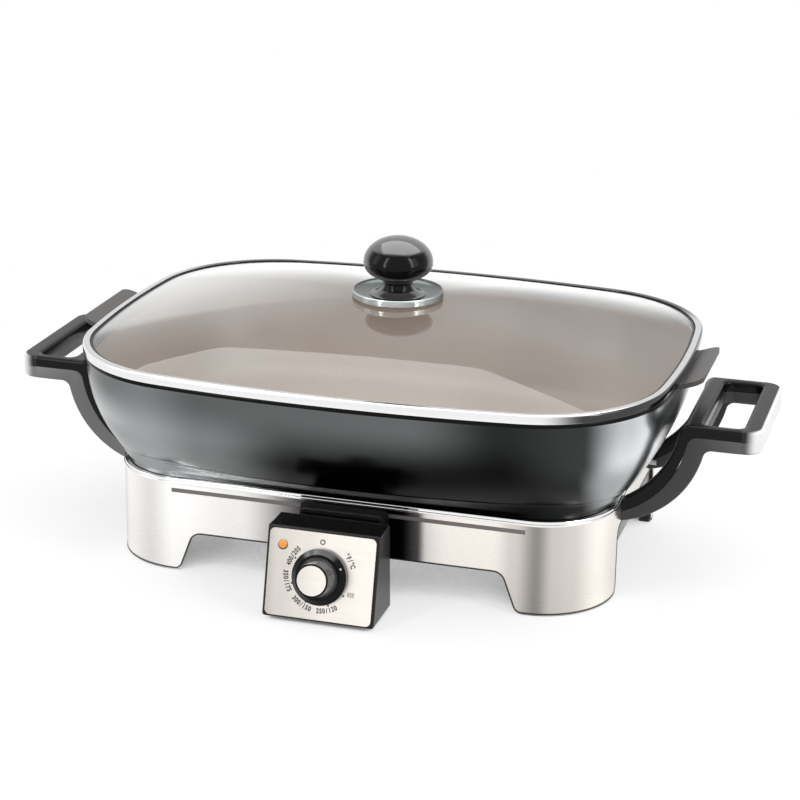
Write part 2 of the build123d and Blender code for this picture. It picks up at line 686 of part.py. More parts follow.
with BuildPart() as apron:
    with BuildSketch(level(FOOT_LIFT)):
        apron_outline()
        apron_outline(SHEET, mode=Mode.SUBTRACT)
    extrude(amount=APRON_TOP - FOOT_LIFT)
    with BuildSketch(upright(0)) as front_arch:
        arch(front_arch, FRONT_ARCH_FOOT_HALF, FRONT_ARCH_TOP_HALF, ARCH_TOP)
    extrude(amount=APRON_WIDTH, both=True, mode=Mode.SUBTRACT)
    with BuildSketch(profile_plane(0)) as end_arch:
        arch(end_arch, END_ARCH_HALF, END_ARCH_HALF, END_ARCH_TOP)
    extrude(amount=APRON_LENGTH, both=True, mode=Mode.SUBTRACT)
    with BuildSketch(upright(APRON_FRONT)):
        with Locations((0, GROOVE_BOTTOM + GROOVE_HEIGHT / 2)):
            Rectangle(2 * FRONT_FLAT, GROOVE_HEIGHT)
    extrude(amount=-GROOVE_DEPTH, mode=Mode.SUBTRACT)
    with BuildSketch(upright(APRON_FRONT + OVERCUT)):
        with Locations((0, SOCKET_HEIGHT)):
            RectangleRounded(
                2 * (SOCKET_OUTER_HALF_WIDTH + GAP_STATIC),
                2 * (SOCKET_OUTER_HALF_HEIGHT + GAP_STATIC),
                SOCKET_CORNER + GAP_STATIC,
            )
    extrude(amount=-2 * OVERCUT, mode=Mode.SUBTRACT)
    with BuildSketch(profile_plane(0)):
        with Locations((0, HANDLE_SCREW_LEVEL)):
            with GridLocations(2 * HANDLE_SCREW_ACROSS, 1, 2, 1):
                Circle(HANDLE_SCREW_RADIUS + GAP_STATIC)
    extrude(amount=APRON_LENGTH, both=True, mode=Mode.SUBTRACT)
save(apron.part, "apron")

# Trim: two rolled beads round the apron's top edge
BEAD_HEIGHT = (TRIM_TOP - APRON_TOP) / 2

with BuildPart() as top_trim:
    with BuildSketch(level(APRON_TOP)):
        apron_outline(-TRIM_PROUD)
    extrude(amount=BEAD_HEIGHT)
    lower_bead = top_trim.faces().filter_by(Axis.Z).edges()
    fillet(lower_bead, BEAD_ROUND)
    with BuildSketch(level(APRON_TOP + BEAD_HEIGHT)):
        apron_outline(TRIM_STEP - TRIM_PROUD)
    extrude(amount=BEAD_HEIGHT)
    fillet(top_trim.faces().sort_by(Axis.Z)[-1].edges(), BEAD_ROUND)
    with BuildSketch(level(APRON_TOP - OVERCUT)):
        apron_outline(TRIM_HOLE_INSET)
    extrude(amount=TRIM_TOP - APRON_TOP + 2 * OVERCUT, mode=Mode.SUBTRACT)
save(top_trim.part, "top_trim")

# Foot pads: curved blocks inside the four legs, standing on the table
PAD_INSET = SHEET + GAP_REST

with BuildPart() as foot_pads:
    with BuildSketch(level(0)):
        apron_outline(PAD_INSET)
        apron_outline(PAD_INSET + FOOT_PAD_WIDTH, mode=Mode.SUBTRACT)
        Rectangle(2 * (FRONT_ARCH_FOOT_HALF + FOOT_PAD_MARGIN), APRON_WIDTH, mode=Mode.SUBTRACT)
        Rectangle(APRON_LENGTH, 2 * (END_ARCH_HALF + FOOT_PAD_MARGIN), mode=Mode.SUBTRACT)
    extrude(amount=FOOT_PAD_HEIGHT)
save(foot_pads.part, "foot_pads")

# Tray: the steel floor inside the apron, notched where the socket comes in
TRAY_INSET = SHEET + GAP_SLIDE
PLATE_POSTS = GridLocations(POST_SPREAD_X, POST_SPREAD_Y, 2, 2)

with BuildPart() as tray:
    with BuildSketch(level(TRAY_FLOOR)):
        apron_outline(TRAY_INSET)
    extrude(amount=TRAY_WALL_TOP - TRAY_FLOOR)
    with BuildSketch(level(TRAY_FLOOR + TRAY_SHEET)):
        apron_outline(TRAY_INSET + TRAY_SHEET)
    extrude(amount=TRAY_WALL_TOP - TRAY_FLOOR, mode=Mode.SUBTRACT)
    with BuildSketch(upright(APRON_FRONT)):
        with Locations((0, TRAY_FLOOR + TRAY_SHEET)):
            Rectangle(
                2 * (SOCKET_OUTER_HALF_WIDTH + GAP_SOCKET),
                TRAY_WALL_TOP - TRAY_FLOOR,
                align=(Align.CENTER, Align.MIN),
            )
    extrude(amount=-2 * OVERCUT, mode=Mode.SUBTRACT)
    with BuildSketch(level(TRAY_FLOOR - OVERCUT)):
        with PLATE_POSTS:
            Circle(POST_SCREW_RADIUS + GAP_STATIC)
    extrude(amount=2 * OVERCUT, mode=Mode.SUBTRACT)
save(tray.part, "tray")

with BuildPart() as plate_posts:
    with BuildSketch(level(TRAY_FLOOR + TRAY_SHEET)):
        with PLATE_POSTS:
            Circle(POST_RADIUS)
            Circle(POST_SCREW_RADIUS + GAP_BORE, mode=Mode.SUBTRACT)
    extrude(amount=PLATE_BOTTOM - TRAY_FLOOR - TRAY_SHEET)
save(plate_posts.part, "plate_posts")

with BuildPart() as tray_screws:
    with BuildSketch(level(TRAY_FLOOR)):
        with PLATE_POSTS:
            Circle(POST_SCREW_HEAD)
    extrude(amount=-POST_SCREW_HEAD_HEIGHT)
    with BuildSketch(level(TRAY_FLOOR)):
        with PLATE_POSTS:
            Circle(POST_SCREW_RADIUS)
    extrude(amount=POST_SCREW_GRIP)
save(tray_screws.part, "tray_screws")

# Heating plate: cast, with the element pressed into a rib that loops under it
PIN_ACROSS = PIN_SPREAD / 2
ELEMENT_PATH = (
    (-PIN_ACROSS, -PIN_BACK),
    (-PIN_ACROSS, -ELEMENT_FRONT),
    (-ELEMENT_HALF_LENGTH, -ELEMENT_FRONT),
    (-ELEMENT_HALF_LENGTH, ELEMENT_REAR),
    (ELEMENT_HALF_LENGTH, ELEMENT_REAR),
    (ELEMENT_HALF_LENGTH, -ELEMENT_FRONT),
    (PIN_ACROSS, -ELEMENT_FRONT),
    (PIN_ACROSS, -PIN_BACK),
)
BOSS_BACK = PROBE_TIP - BOSS_WALL
BOSS_FRONT = PROBE_TIP + PROBE_SEAT

with BuildPart() as heater_plate:
    with BuildSketch(level(PLATE_BOTTOM)):
        RectangleRounded(PLATE_LENGTH, PLATE_WIDTH, PLATE_CORNER)
    extrude(amount=PLATE_THICKNESS)
    with BuildSketch(level(RIB_BOTTOM)):
        with BuildLine():
            FilletPolyline(*ELEMENT_PATH, radius=ELEMENT_BEND)
        trace(line_width=RIB_WIDTH)
    extrude(amount=PLATE_BOTTOM - RIB_BOTTOM)
    with BuildSketch(upright(BOSS_BACK)):
        with Locations((0, SOCKET_HEIGHT)):
            Circle(PROBE_RADIUS + BOSS_WALL)
            Rectangle(
                2 * (PROBE_RADIUS + BOSS_WALL),
                PLATE_BOTTOM - SOCKET_HEIGHT,
                align=(Align.CENTER, Align.MIN),
            )
    extrude(amount=BOSS_FRONT - BOSS_BACK)
    with BuildSketch(level(RIB_BOTTOM)):
        with BuildLine():
            FilletPolyline(*ELEMENT_PATH, radius=ELEMENT_BEND)
        trace(line_width=2 * (ELEMENT_RADIUS + GAP_STATIC))
    extrude(amount=2 * ELEMENT_RADIUS + GAP_STATIC, mode=Mode.SUBTRACT)
    with BuildSketch(upright(PROBE_TIP - GAP_SOCKET)):
        with Locations((0, SOCKET_HEIGHT)):
            Circle(PROBE_RADIUS + GAP_BORE)
    extrude(amount=PIN_BACK + OVERCUT - PROBE_TIP, mode=Mode.SUBTRACT)
save(heater_plate.part, "heater_plate")

with BuildPart() as heating_element:
    with BuildLine(level(SOCKET_HEIGHT)) as element_path:
        FilletPolyline(*ELEMENT_PATH, radius=ELEMENT_BEND)
    with BuildSketch(upright(PIN_BACK)):
        with Locations((-PIN_ACROSS, SOCKET_HEIGHT)):
            Circle(ELEMENT_RADIUS)
    sweep(path=element_path.wires()[0])
save(heating_element.part, "heating_element")

with BuildPart() as element_clips:
    with BuildSketch(level(RIB_BOTTOM)):
        for run in (-ELEMENT_FRONT, ELEMENT_REAR):
            with Locations((0, run)):
                with GridLocations(CLIP_SPREAD, 1, 2, 1):
                    RectangleRounded(CLIP_WIDTH, CLIP_LENGTH, CLIP_CORNER)
    extrude(amount=-CLIP_SHEET)
save(element_clips.part, "element_clips")

# Socket: a rectangular collar through the apron, with two pins and the probe's guide inside
with BuildPart() as socket_guard:
    with BuildSketch(upright(SOCKET_BACK)):
        with Locations((0, SOCKET_HEIGHT)):
            RectangleRounded(2 * SOCKET_OUTER_HALF_WIDTH, 2 * SOCKET_OUTER_HALF_HEIGHT, SOCKET_CORNER)
    extrude(amount=SOCKET_LENGTH)
    with BuildSketch(upright(APRON_FRONT + GAP_REST)):
        with Locations((0, SOCKET_HEIGHT)):
            RectangleRounded(
                2 * (SOCKET_OUTER_HALF_WIDTH + SOCKET_FLANGE),
                2 * (SOCKET_OUTER_HALF_HEIGHT + SOCKET_FLANGE),
                SOCKET_CORNER,
            )
    extrude(amount=SOCKET_FLANGE_SHEET)
    with BuildSketch(upright(SOCKET_BACK - OVERCUT)):
        with Locations((0, SOCKET_HEIGHT)):
            Rectangle(2 * SOCKET_HALF_WIDTH, 2 * SOCKET_HALF_HEIGHT)
    extrude(amount=SOCKET_LENGTH + 2 * OVERCUT, mode=Mode.SUBTRACT)
save(socket_guard.part, "socket_guard")

with BuildPart() as socket_insulator:
    with BuildSketch(upright(SOCKET_BACK)):
        with Locations((0, SOCKET_HEIGHT)):
            Rectangle(2 * (SOCKET_HALF_WIDTH - GAP_BORE), 2 * (SOCKET_HALF_HEIGHT - GAP_BORE))
            Circle(PROBE_RADIUS + GAP_SLIDE, mode=Mode.SUBTRACT)
            with GridLocations(PIN_SPREAD, 1, 2, 1):
                Circle(PIN_RADIUS + GAP_BORE, mode=Mode.SUBTRACT)
    extrude(amount=INSULATOR_THICKNESS)
save(socket_insulator.part, "socket_insulator")

with BuildPart() as terminal_pins:
    with BuildSketch(upright(PIN_BACK)):
        with Locations((0, SOCKET_HEIGHT)):
            with GridLocations(PIN_SPREAD, 1, 2, 1):
                Circle(PIN_RADIUS)
    extrude(amount=PIN_FRONT - PIN_BACK)
    fillet(terminal_pins.faces().sort_by(Axis.Y)[:2].edges(), PIN_RADIUS - GAP_SOCKET)
save(terminal_pins.part, "terminal_pins")

# Side handles: two moulded layers whose arms curve up from the apron to a flat loop
HANDLE_FOOT = APRON_END + GAP_STATIC
HANDLE_END = APRON_END + HANDLE_REACH
HANDLE_BOTTOM = HANDLE_TOP - HANDLE_THICKNESS
HANDLE_SPLIT = HANDLE_TOP - HANDLE_CAP_DEPTH
LOOP_START = APRON_END + ARM_UPPER_REACH
HOLE_START = LOOP_START + HANDLE_INNER_BAR
HOLE_END = HANDLE_END - HANDLE_BAR
TRIM_CLEAR = APRON_END + TRIM_PROUD + GAP_STATIC

# Each edge of a layer: height of its foot, level of its flat, reach of its arc, bow and bend
LOWER_EDGE = (APRON_TOP - ARM_FOOT_DROP, HANDLE_BOTTOM, ARM_LOWER_REACH, ARM_LOWER_BOW, ARM_LOWER_FILLET)
SPLIT_EDGE = (APRON_TOP - ARM_SPLIT_DROP, HANDLE_SPLIT, ARM_SPLIT_REACH, ARM_SPLIT_BOW, ARM_SPLIT_FILLET)
CAP_EDGE = (
    APRON_TOP - ARM_SPLIT_DROP + LAYER_GROOVE,
    HANDLE_SPLIT + LAYER_GROOVE,
    ARM_SPLIT_REACH - LAYER_GROOVE,
    ARM_SPLIT_BOW,
    ARM_SPLIT_FILLET,
)
UPPER_EDGE = (APRON_TOP + ARM_TOP_RISE, HANDLE_TOP, ARM_UPPER_REACH, ARM_UPPER_BOW, ARM_UPPER_FILLET)


def handle_layer(sketch, below, above):
    """Side profile of one layer: an arc up from the apron, then flat out to the end."""
    low_foot, low_flat, low_reach, low_bow, low_bend = below
    high_foot, high_flat, high_reach, high_bow, high_bend = above
    low_corner = (APRON_END + low_reach, low_flat)
    high_corner = (APRON_END + high_reach, high_flat)
    with BuildLine() as outline:
        SagittaArc((HANDLE_FOOT, low_foot), low_corner, -low_bow)
        Polyline(low_corner, (HANDLE_END, low_flat), (HANDLE_END, high_flat), high_corner)
        SagittaArc((HANDLE_FOOT, high_foot), high_corner, -high_bow)
        Line((HANDLE_FOOT, high_foot), (HANDLE_FOOT, low_foot))
    make_face(outline.edges())
    fillet(sketch.vertices().sort_by_distance(low_corner)[0], low_bend)
    fillet(sketch.vertices().sort_by_distance(high_corner)[0], high_bend)


def end_band(wall, returned):
    """U-shaped band round the loop's outer end, as thick as the wall, in plan."""
    reach = 2 * ACCENT_RETURN
    with Locations((HANDLE_END - reach, 0)):
        RectangleRounded(2 * reach, HANDLE_WIDTH, HANDLE_CORNER)
        RectangleRounded(
            2 * (reach - wall), HANDLE_WIDTH - 2 * wall, HANDLE_CORNER - wall, mode=Mode.SUBTRACT
        )
    with Locations((HANDLE_END - returned, 0)):
        Rectangle(2 * reach, HANDLE_WIDTH, align=(Align.MAX, Align.CENTER), mode=Mode.SUBTRACT)


with BuildPart() as handle_right_body:
    with BuildSketch(upright(0)) as body_side:
        handle_layer(body_side, LOWER_EDGE, SPLIT_EDGE)
    extrude(amount=HANDLE_WIDTH / 2, both=True)
    fillet(handle_right_body.edges().filter_by(Axis.Z).group_by(Axis.X)[-1], HANDLE_CORNER)
    # Open between the arms and under the loop's inner bar, and through the loop itself
    with BuildSketch(level(0)):
        with Locations(((HANDLE_FOOT + LOOP_START) / 2, 0)):
            Rectangle(LOOP_START - HANDLE_FOOT, 2 * HANDLE_PLATE_INSIDE)
    extrude(amount=HANDLE_TOP, mode=Mode.SUBTRACT)
    with BuildSketch(level(0)):
        with Locations(((HANDLE_FOOT + HOLE_START) / 2, 0)):
            Rectangle(HOLE_START - HANDLE_FOOT, 2 * HANDLE_PLATE_INSIDE)
    extrude(amount=HANDLE_BOTTOM, mode=Mode.SUBTRACT)
    with BuildSketch(level(0)):
        with Locations(((HOLE_START + HOLE_END) / 2, 0)):
            RectangleRounded(HOLE_END - HOLE_START, 2 * HANDLE_PLATE_INSIDE, HANDLE_HOLE_CORNER)
    extrude(amount=HANDLE_TOP, mode=Mode.SUBTRACT)
    with BuildSketch(level(0)):
        end_band(ACCENT_WALL + GAP_BORE, ACCENT_RETURN + GAP_BORE)
    extrude(amount=HANDLE_TOP, mode=Mode.SUBTRACT)
    # Screw bosses on the inside of each arm's foot
    with BuildSketch(profile_plane(HANDLE_FOOT)):
        with Locations((0, HANDLE_SCREW_LEVEL)):
            with GridLocations(2 * HANDLE_SCREW_ACROSS, 1, 2, 1):
                Rectangle(BOSS_INWARD, BOSS_HEIGHT)
    extrude(amount=BOSS_REACH)
    with BuildSketch(profile_plane(HANDLE_FOOT)):
        with Locations((0, HANDLE_SCREW_LEVEL)):
            with GridLocations(2 * HANDLE_SCREW_ACROSS, 1, 2, 1):
                Circle(HANDLE_SCREW_RADIUS + GAP_BORE)
    extrude(amount=HANDLE_SCREW_GRIP, mode=Mode.SUBTRACT)
save(handle_right_body.part, "handle_right_body")

with BuildPart() as handle_right_cap:
    with BuildSketch(upright(0)) as cap_side:
        handle_layer(cap_side, CAP_EDGE, UPPER_EDGE)
    extrude(amount=HANDLE_WIDTH / 2, both=True)
    fillet(handle_right_cap.edges().filter_by(Axis.Z).group_by(Axis.X)[-1], HANDLE_CORNER)
    with BuildSketch(level(0)):
        with Locations(((HANDLE_FOOT + LOOP_START) / 2, 0)):
            Rectangle(LOOP_START - HANDLE_FOOT, 2 * HANDLE_PLATE_INSIDE)
    extrude(amount=HANDLE_TOP, mode=Mode.SUBTRACT)
    with BuildSketch(level(0)):
        with Locations(((HOLE_START + HOLE_END) / 2, 0)):
            RectangleRounded(HOLE_END - HOLE_START, 2 * HANDLE_PLATE_INSIDE, HANDLE_HOLE_CORNER)
    extrude(amount=HANDLE_TOP, mode=Mode.SUBTRACT)
    # Round every edge of the flat top but the one where it runs on into the bend
    top_edges = handle_right_cap.faces().sort_by(Axis.Z)[-1].edges().sort_by(Axis.X)
    fillet(top_edges[1:], HANDLE_TOP_ROUND)
    with BuildSketch(level(0)):
        end_band(ACCENT_WALL + GAP_BORE, ACCENT_RETURN + GAP_BORE)
    extrude(amount=HANDLE_TOP + OVERCUT, mode=Mode.SUBTRACT)
    # Step back from the trim's beads
    with BuildSketch(level(APRON_TOP - GAP_STATIC)):
        with Locations((TRIM_CLEAR, 0)):
            Rectangle(OVERCUT, HANDLE_WIDTH, align=(Align.MAX, Align.CENTER))
    extrude(amount=TRIM_TOP - APRON_TOP, mode=Mode.SUBTRACT)
save(handle_right_cap.part, "handle_right_cap")

with BuildPart() as handle_right_accent:
    with BuildSketch(level(HANDLE_BOTTOM + ACCENT_INSET)):
        end_band(ACCENT_WALL, ACCENT_RETURN)
    extrude(amount=HANDLE_THICKNESS - 2 * ACCENT_INSET)
save(handle_right_accent.part, "handle_right_accent")

with BuildPart() as handle_left_body:
    mirror(handle_right_body.part, about=Plane.YZ)
save(handle_left_body.part, "handle_left_body")

with BuildPart() as handle_left_cap:
    mirror(handle_right_cap.part, about=Plane.YZ)
save(handle_left_cap.part, "handle_left_cap")

with BuildPart() as handle_left_accent:
    mirror(handle_right_accent.part, about=Plane.YZ)
save(handle_left_accent.part, "handle_left_accent")

with BuildPart() as handle_screws:
    with BuildSketch(profile_plane(APRON_END - SHEET)):
        with Locations((0, HANDLE_SCREW_LEVEL)):
            with GridLocations(2 * HANDLE_SCREW_ACROSS, 1, 2, 1):
                Circle(HANDLE_SCREW_HEAD)
    extrude(amount=-HANDLE_SCREW_HEAD_HEIGHT)
    with BuildSketch(profile_plane(APRON_END - SHEET)):
        with Locations((0, HANDLE_SCREW_LEVEL)):
            with GridLocations(2 * HANDLE_SCREW_ACROSS, 1, 2, 1):
                Circle(HANDLE_SCREW_RADIUS)
    extrude(amount=HANDLE_SCREW_GRIP)
    mirror(about=Plane.YZ)
save(handle_screws.part, "handle_screws")

# Control: a moulded wedge in two halves, parted parallel to its leaning face
FACE_HEIGHT = FACE_SLOPE - 2 * FACE_MARGIN
FACE_WIDTH = CONTROL_WIDTH - 2 * FACE_MARGIN
LAMP_SPOT = (-LAMP_ACROSS, LAMP_UP)
FACE_AXIS = Axis(origin=face_plane(0).origin, direction=face_plane(0).z_dir)
CONTROL_POST_LEVELS = (CONTROL_POST_LOW, CONTROL_POST_HIGH)
THERMO_POSTS = GridLocations(THERMO_POST_ACROSS, 1, 2, 1)


def face_front(height, behind):
    """How far in front of the pan's centre a plane parallel to the face lies at a height."""
    lean = (height - CONTROL_CLEARANCE) * CONTROL_FACE_LEAN / CONTROL_HEIGHT
    return CONTROL_FACE_BOTTOM_FRONT - lean - behind / FACE_COS


def screw_seat(height):
    """Where the head of the screw at a height bears on its post."""
    return face_front(height, BEZEL_DEPTH) - CONTROL_SCREW_GRIP


def control_side():
    """Side profile of the wedge: a leaning face, a flat top and a nearly upright back."""
    Polygon(
        (-CONTROL_FACE_BOTTOM_FRONT, CONTROL_CLEARANCE),
        (-CONTROL_FACE_TOP_FRONT, CONTROL_TOP),
        (-CONTROL_REAR_TOP, CONTROL_TOP),
        (-CONTROL_REAR_BOTTOM, CONTROL_CLEARANCE),
        align=None,
    )


with BuildPart() as control_block:
    with BuildSketch(profile_plane(0)):
        control_side()
    extrude(amount=CONTROL_WIDTH / 2, both=True)
    fillet(control_block.edges(), CONTROL_ROUND)

with BuildPart() as control_hollow:
    with BuildSketch(profile_plane(0)):
        control_side()
        offset(amount=-CONTROL_WALL, kind=Kind.INTERSECTION)
    extrude(amount=CONTROL_WIDTH / 2 - CONTROL_WALL, both=True)

with BuildPart() as control_posts:
    for height in CONTROL_POST_LEVELS:
        with BuildSketch(upright(CONTROL_REAR_BOTTOM)):
            with Locations((0, height)):
                with GridLocations(CONTROL_POST_ACROSS, 1, 2, 1):
                    Circle(CONTROL_POST_RADIUS)
        extrude(amount=face_front(height, CONTROL_WALL) - CONTROL_REAR_BOTTOM)
    add(control_block.part, mode=Mode.INTERSECT)

with BuildPart() as control_bezel:
    add(control_block.part)
    add(control_hollow.part, mode=Mode.SUBTRACT)
    add(control_posts.part)
    split(bisect_by=face_plane(-BEZEL_DEPTH), keep=Keep.TOP)
    with BuildSketch(face_plane(0)):
        RectangleRounded(FACE_WIDTH + 2 * GAP_BORE, FACE_HEIGHT + 2 * GAP_BORE, FACE_CORNER)
    extrude(amount=-FACE_SHEET, mode=Mode.SUBTRACT)
    for height in CONTROL_POST_LEVELS:
        with BuildSketch(upright(screw_seat(height))):
            with Locations((0, height)):
                with GridLocations(CONTROL_POST_ACROSS, 1, 2, 1):
                    Circle(CONTROL_SCREW_RADIUS + GAP_BORE)
        extrude(amount=CONTROL_SCREW_LENGTH + GAP_SLIDE, mode=Mode.SUBTRACT)
    with BuildSketch(face_plane(-THERMO_DEPTH)):
        with THERMO_POSTS:
            Circle(THERMO_POST_RADIUS)
    extrude(amount=THERMO_DEPTH - CONTROL_WALL)
    with BuildSketch(face_plane(0)):
        Circle(DIAL_SHAFT_RADIUS + GAP_BORE)
        with Locations(LAMP_SPOT):
            Circle(LENS_RADIUS + GAP_BORE)
    extrude(amount=-CONTROL_WALL - OVERCUT / 2, mode=Mode.SUBTRACT)
save(control_bezel.part, "control_bezel")

PLUG_BLOCK_FRONT = PLUG_TIP + PLUG_BLOCK_LENGTH
PLUG_CORE_WIDTH = PLUG_WIDTH - 2 * PLUG_WALL
PLUG_CORE_HEIGHT = PLUG_HEIGHT - 2 * PLUG_WALL

with BuildPart() as control_shell:
    add(control_block.part)
    add(control_hollow.part, mode=Mode.SUBTRACT)
    add(control_posts.part)
    split(bisect_by=face_plane(-BEZEL_DEPTH), keep=Keep.BOTTOM)
    # Posts are bored from behind for the screws and their sunk heads
    for height in CONTROL_POST_LEVELS:
        with BuildSketch(upright(screw_seat(height))):
            with Locations((0, height)):
                with GridLocations(CONTROL_POST_ACROSS, 1, 2, 1):
                    Circle(CONTROL_SCREW_RADIUS + GAP_STATIC)
        extrude(amount=CONTROL_SCREW_LENGTH, mode=Mode.SUBTRACT)
        with BuildSketch(upright(screw_seat(height))):
            with Locations((0, height)):
                with GridLocations(CONTROL_POST_ACROSS, 1, 2, 1):
                    Circle(CONTROL_SCREW_HEAD + GAP_STATIC)
        extrude(amount=-CONTROL_WIDTH, mode=Mode.SUBTRACT)
    # Neck of the plug, a flat tube that slides into the socket
    with BuildSketch(upright(PLUG_TIP)):
        with Locations((0, SOCKET_HEIGHT)):
            RectangleRounded(PLUG_WIDTH, PLUG_HEIGHT, PLUG_CORNER)
    extrude(amount=CONTROL_REAR_BOTTOM + CONTROL_WALL - PLUG_TIP)
    with BuildSketch(upright(PLUG_TIP - OVERCUT)):
        with Locations((0, SOCKET_HEIGHT)):
            Rectangle(PLUG_CORE_WIDTH, PLUG_CORE_HEIGHT)
    extrude(amount=CONTROL_REAR_TOP + OVERCUT - PLUG_TIP, mode=Mode.SUBTRACT)
    with BuildSketch(upright(CONTROL_REAR_BOTTOM - OVERCUT)):
        with Locations((CORD_INLET_ACROSS, CORD_INLET_HEIGHT)):
            Circle(CORD_INLET_RADIUS + CORD_GLAND_WALL + GAP_BORE)
    extrude(amount=CONTROL_WALL + 2 * OVERCUT, mode=Mode.SUBTRACT)
save(control_shell.part, "control_shell")

with BuildPart() as face_plate:
    with BuildSketch(face_plane(-FACE_SHEET)):
        RectangleRounded(FACE_WIDTH, FACE_HEIGHT, FACE_CORNER)
        Circle(DIAL_SHAFT_RADIUS + GAP_SLIDE, mode=Mode.SUBTRACT)
        with Locations(LAMP_SPOT):
            Circle(LENS_RADIUS + GAP_BORE, mode=Mode.SUBTRACT)
    extrude(amount=FACE_SHEET)
save(face_plate.part, "face_plate")

with BuildPart() as indicator_lens:
    with BuildSketch(face_plane(-CONTROL_WALL - LENS_FLANGE)):
        with Locations(LAMP_SPOT):
            Circle(LENS_RADIUS + LENS_FLANGE)
    extrude(amount=LENS_FLANGE)
    with BuildSketch(face_plane(-CONTROL_WALL)):
        with Locations(LAMP_SPOT):
            Circle(LENS_RADIUS)
    extrude(amount=CONTROL_WALL + LENS_PROUD)
    lens_front = indicator_lens.faces().sort_by(FACE_AXIS)[-1]
    fillet(lens_front.edges(), LENS_PROUD)
save(indicator_lens.part, "indicator_lens")

with BuildPart() as indicator_lamp:
    with BuildSketch(face_plane(-CONTROL_WALL - LENS_FLANGE)):
        with Locations(LAMP_SPOT):
            Circle(LAMP_RADIUS)
    extrude(amount=-LAMP_LENGTH)
save(indicator_lamp.part, "indicator_lamp")

with BuildPart() as plug_block:
    with BuildSketch(upright(PLUG_TIP)):
        with Locations((0, SOCKET_HEIGHT)):
            Rectangle(PLUG_CORE_WIDTH - 2 * GAP_BORE, PLUG_CORE_HEIGHT - 2 * GAP_BORE)
            Circle(PROBE_RADIUS + GAP_BORE, mode=Mode.SUBTRACT)
            with GridLocations(PIN_SPREAD, 1, 2, 1):
                Circle(CONTACT_RADIUS + GAP_BORE, mode=Mode.SUBTRACT)
    extrude(amount=PLUG_BLOCK_LENGTH)
save(plug_block.part, "plug_block")

with BuildPart() as plug_contacts:
    with BuildSketch(upright(PLUG_TIP)):
        with Locations((0, SOCKET_HEIGHT)):
            with GridLocations(PIN_SPREAD, 1, 2, 1):
                Circle(CONTACT_RADIUS)
                Circle(PIN_RADIUS + GAP_BORE, mode=Mode.SUBTRACT)
    extrude(amount=CONTACT_LENGTH)
save(plug_contacts.part, "plug_contacts")

with BuildPart() as probe_tube:
    with BuildSketch(upright(PROBE_TIP)):
        with Locations((0, SOCKET_HEIGHT)):
            Circle(PROBE_RADIUS)
    extrude(amount=PLUG_BLOCK_FRONT - PROBE_TIP)
    fillet(probe_tube.faces().sort_by(Axis.Y)[-1].edges(), PROBE_RADIUS - GAP_SOCKET)
save(probe_tube.part, "probe_tube")

# Thermostat: a plate on two posts, and two blades that the dial's shaft presses together
STACK_MID = (THERMO_PLATE_WIDTH - STACK_WIDTH) / 2
THERMO_BACK = -THERMO_DEPTH - THERMO_SHEET
BLADE_MID = STACK_MID + STACK_WIDTH / 2 - BLADE_LENGTH / 2
POINT_MID = BLADE_MID - BLADE_LENGTH / 2 + CONTACT_POINT_RADIUS * 2
FRONT_BLADE = THERMO_BACK - BLADE_LIFT
REAR_BLADE = FRONT_BLADE - BLADE_SHEET - CONTACT_POINT_HEIGHT

with BuildPart() as thermostat_plate:
    with BuildSketch(face_plane(-THERMO_DEPTH)):
        Rectangle(THERMO_PLATE_WIDTH, THERMO_PLATE_HEIGHT)
        Circle(DIAL_SHAFT_RADIUS + GAP_SLIDE, mode=Mode.SUBTRACT)
    extrude(amount=-THERMO_SHEET)
save(thermostat_plate.part, "thermostat_plate")

with BuildPart() as contact_blades:
    for height in (FRONT_BLADE, REAR_BLADE):
        with BuildSketch(face_plane(height)):
            with Locations((BLADE_MID, 0)):
                Rectangle(BLADE_LENGTH, BLADE_WIDTH)
        extrude(amount=-BLADE_SHEET)
save(contact_blades.part, "contact_blades")

with BuildPart() as contact_points:
    with BuildSketch(face_plane(FRONT_BLADE - BLADE_SHEET)):
        with Locations((POINT_MID, 0)):
            Circle(CONTACT_POINT_RADIUS)
    extrude(amount=-CONTACT_POINT_HEIGHT)
save(contact_points.part, "contact_points")

with BuildPart() as contact_stack:
    with BuildSketch(face_plane(THERMO_BACK)):
        with Locations((STACK_MID, 0)):
            Rectangle(STACK_WIDTH, STACK_WIDTH)
    extrude(amount=-STACK_DEPTH)
    for height in (FRONT_BLADE, REAR_BLADE):
        with BuildSketch(face_plane(height + GAP_BORE)):
            with Locations((BLADE_MID, 0)):
                Rectangle(BLADE_LENGTH + 2 * GAP_BORE, BLADE_WIDTH + 2 * GAP_BORE)
        extrude(amount=-BLADE_SHEET - 2 * GAP_BORE, mode=Mode.SUBTRACT)
save(contact_stack.part, "contact_stack")

with BuildPart() as cord_gland:
    with BuildSketch(upright(CONTROL_REAR_BOTTOM - CORD_GLAND_LENGTH)):
        with Locations((CORD_INLET_ACROSS, CORD_INLET_HEIGHT)):
            Circle(CORD_INLET_RADIUS + CORD_GLAND_WALL)
    extrude(amount=CORD_GLAND_LENGTH + CONTROL_WALL + OVERCUT)
    with BuildSketch(upright(CONTROL_REAR_BOTTOM - GAP_REST)):
        with Locations((CORD_INLET_ACROSS, CORD_INLET_HEIGHT)):
            Circle(CORD_INLET_RADIUS + 2 * CORD_GLAND_WALL)
    extrude(amount=-CORD_GLAND_WALL)
    with BuildSketch(upright(CONTROL_REAR_BOTTOM - CORD_GLAND_LENGTH)):
        with Locations((CORD_INLET_ACROSS, CORD_INLET_HEIGHT)):
            Circle(CORD_INLET_RADIUS)
    extrude(amount=CONTROL_WIDTH, mode=Mode.SUBTRACT)
save(cord_gland.part, "cord_gland")

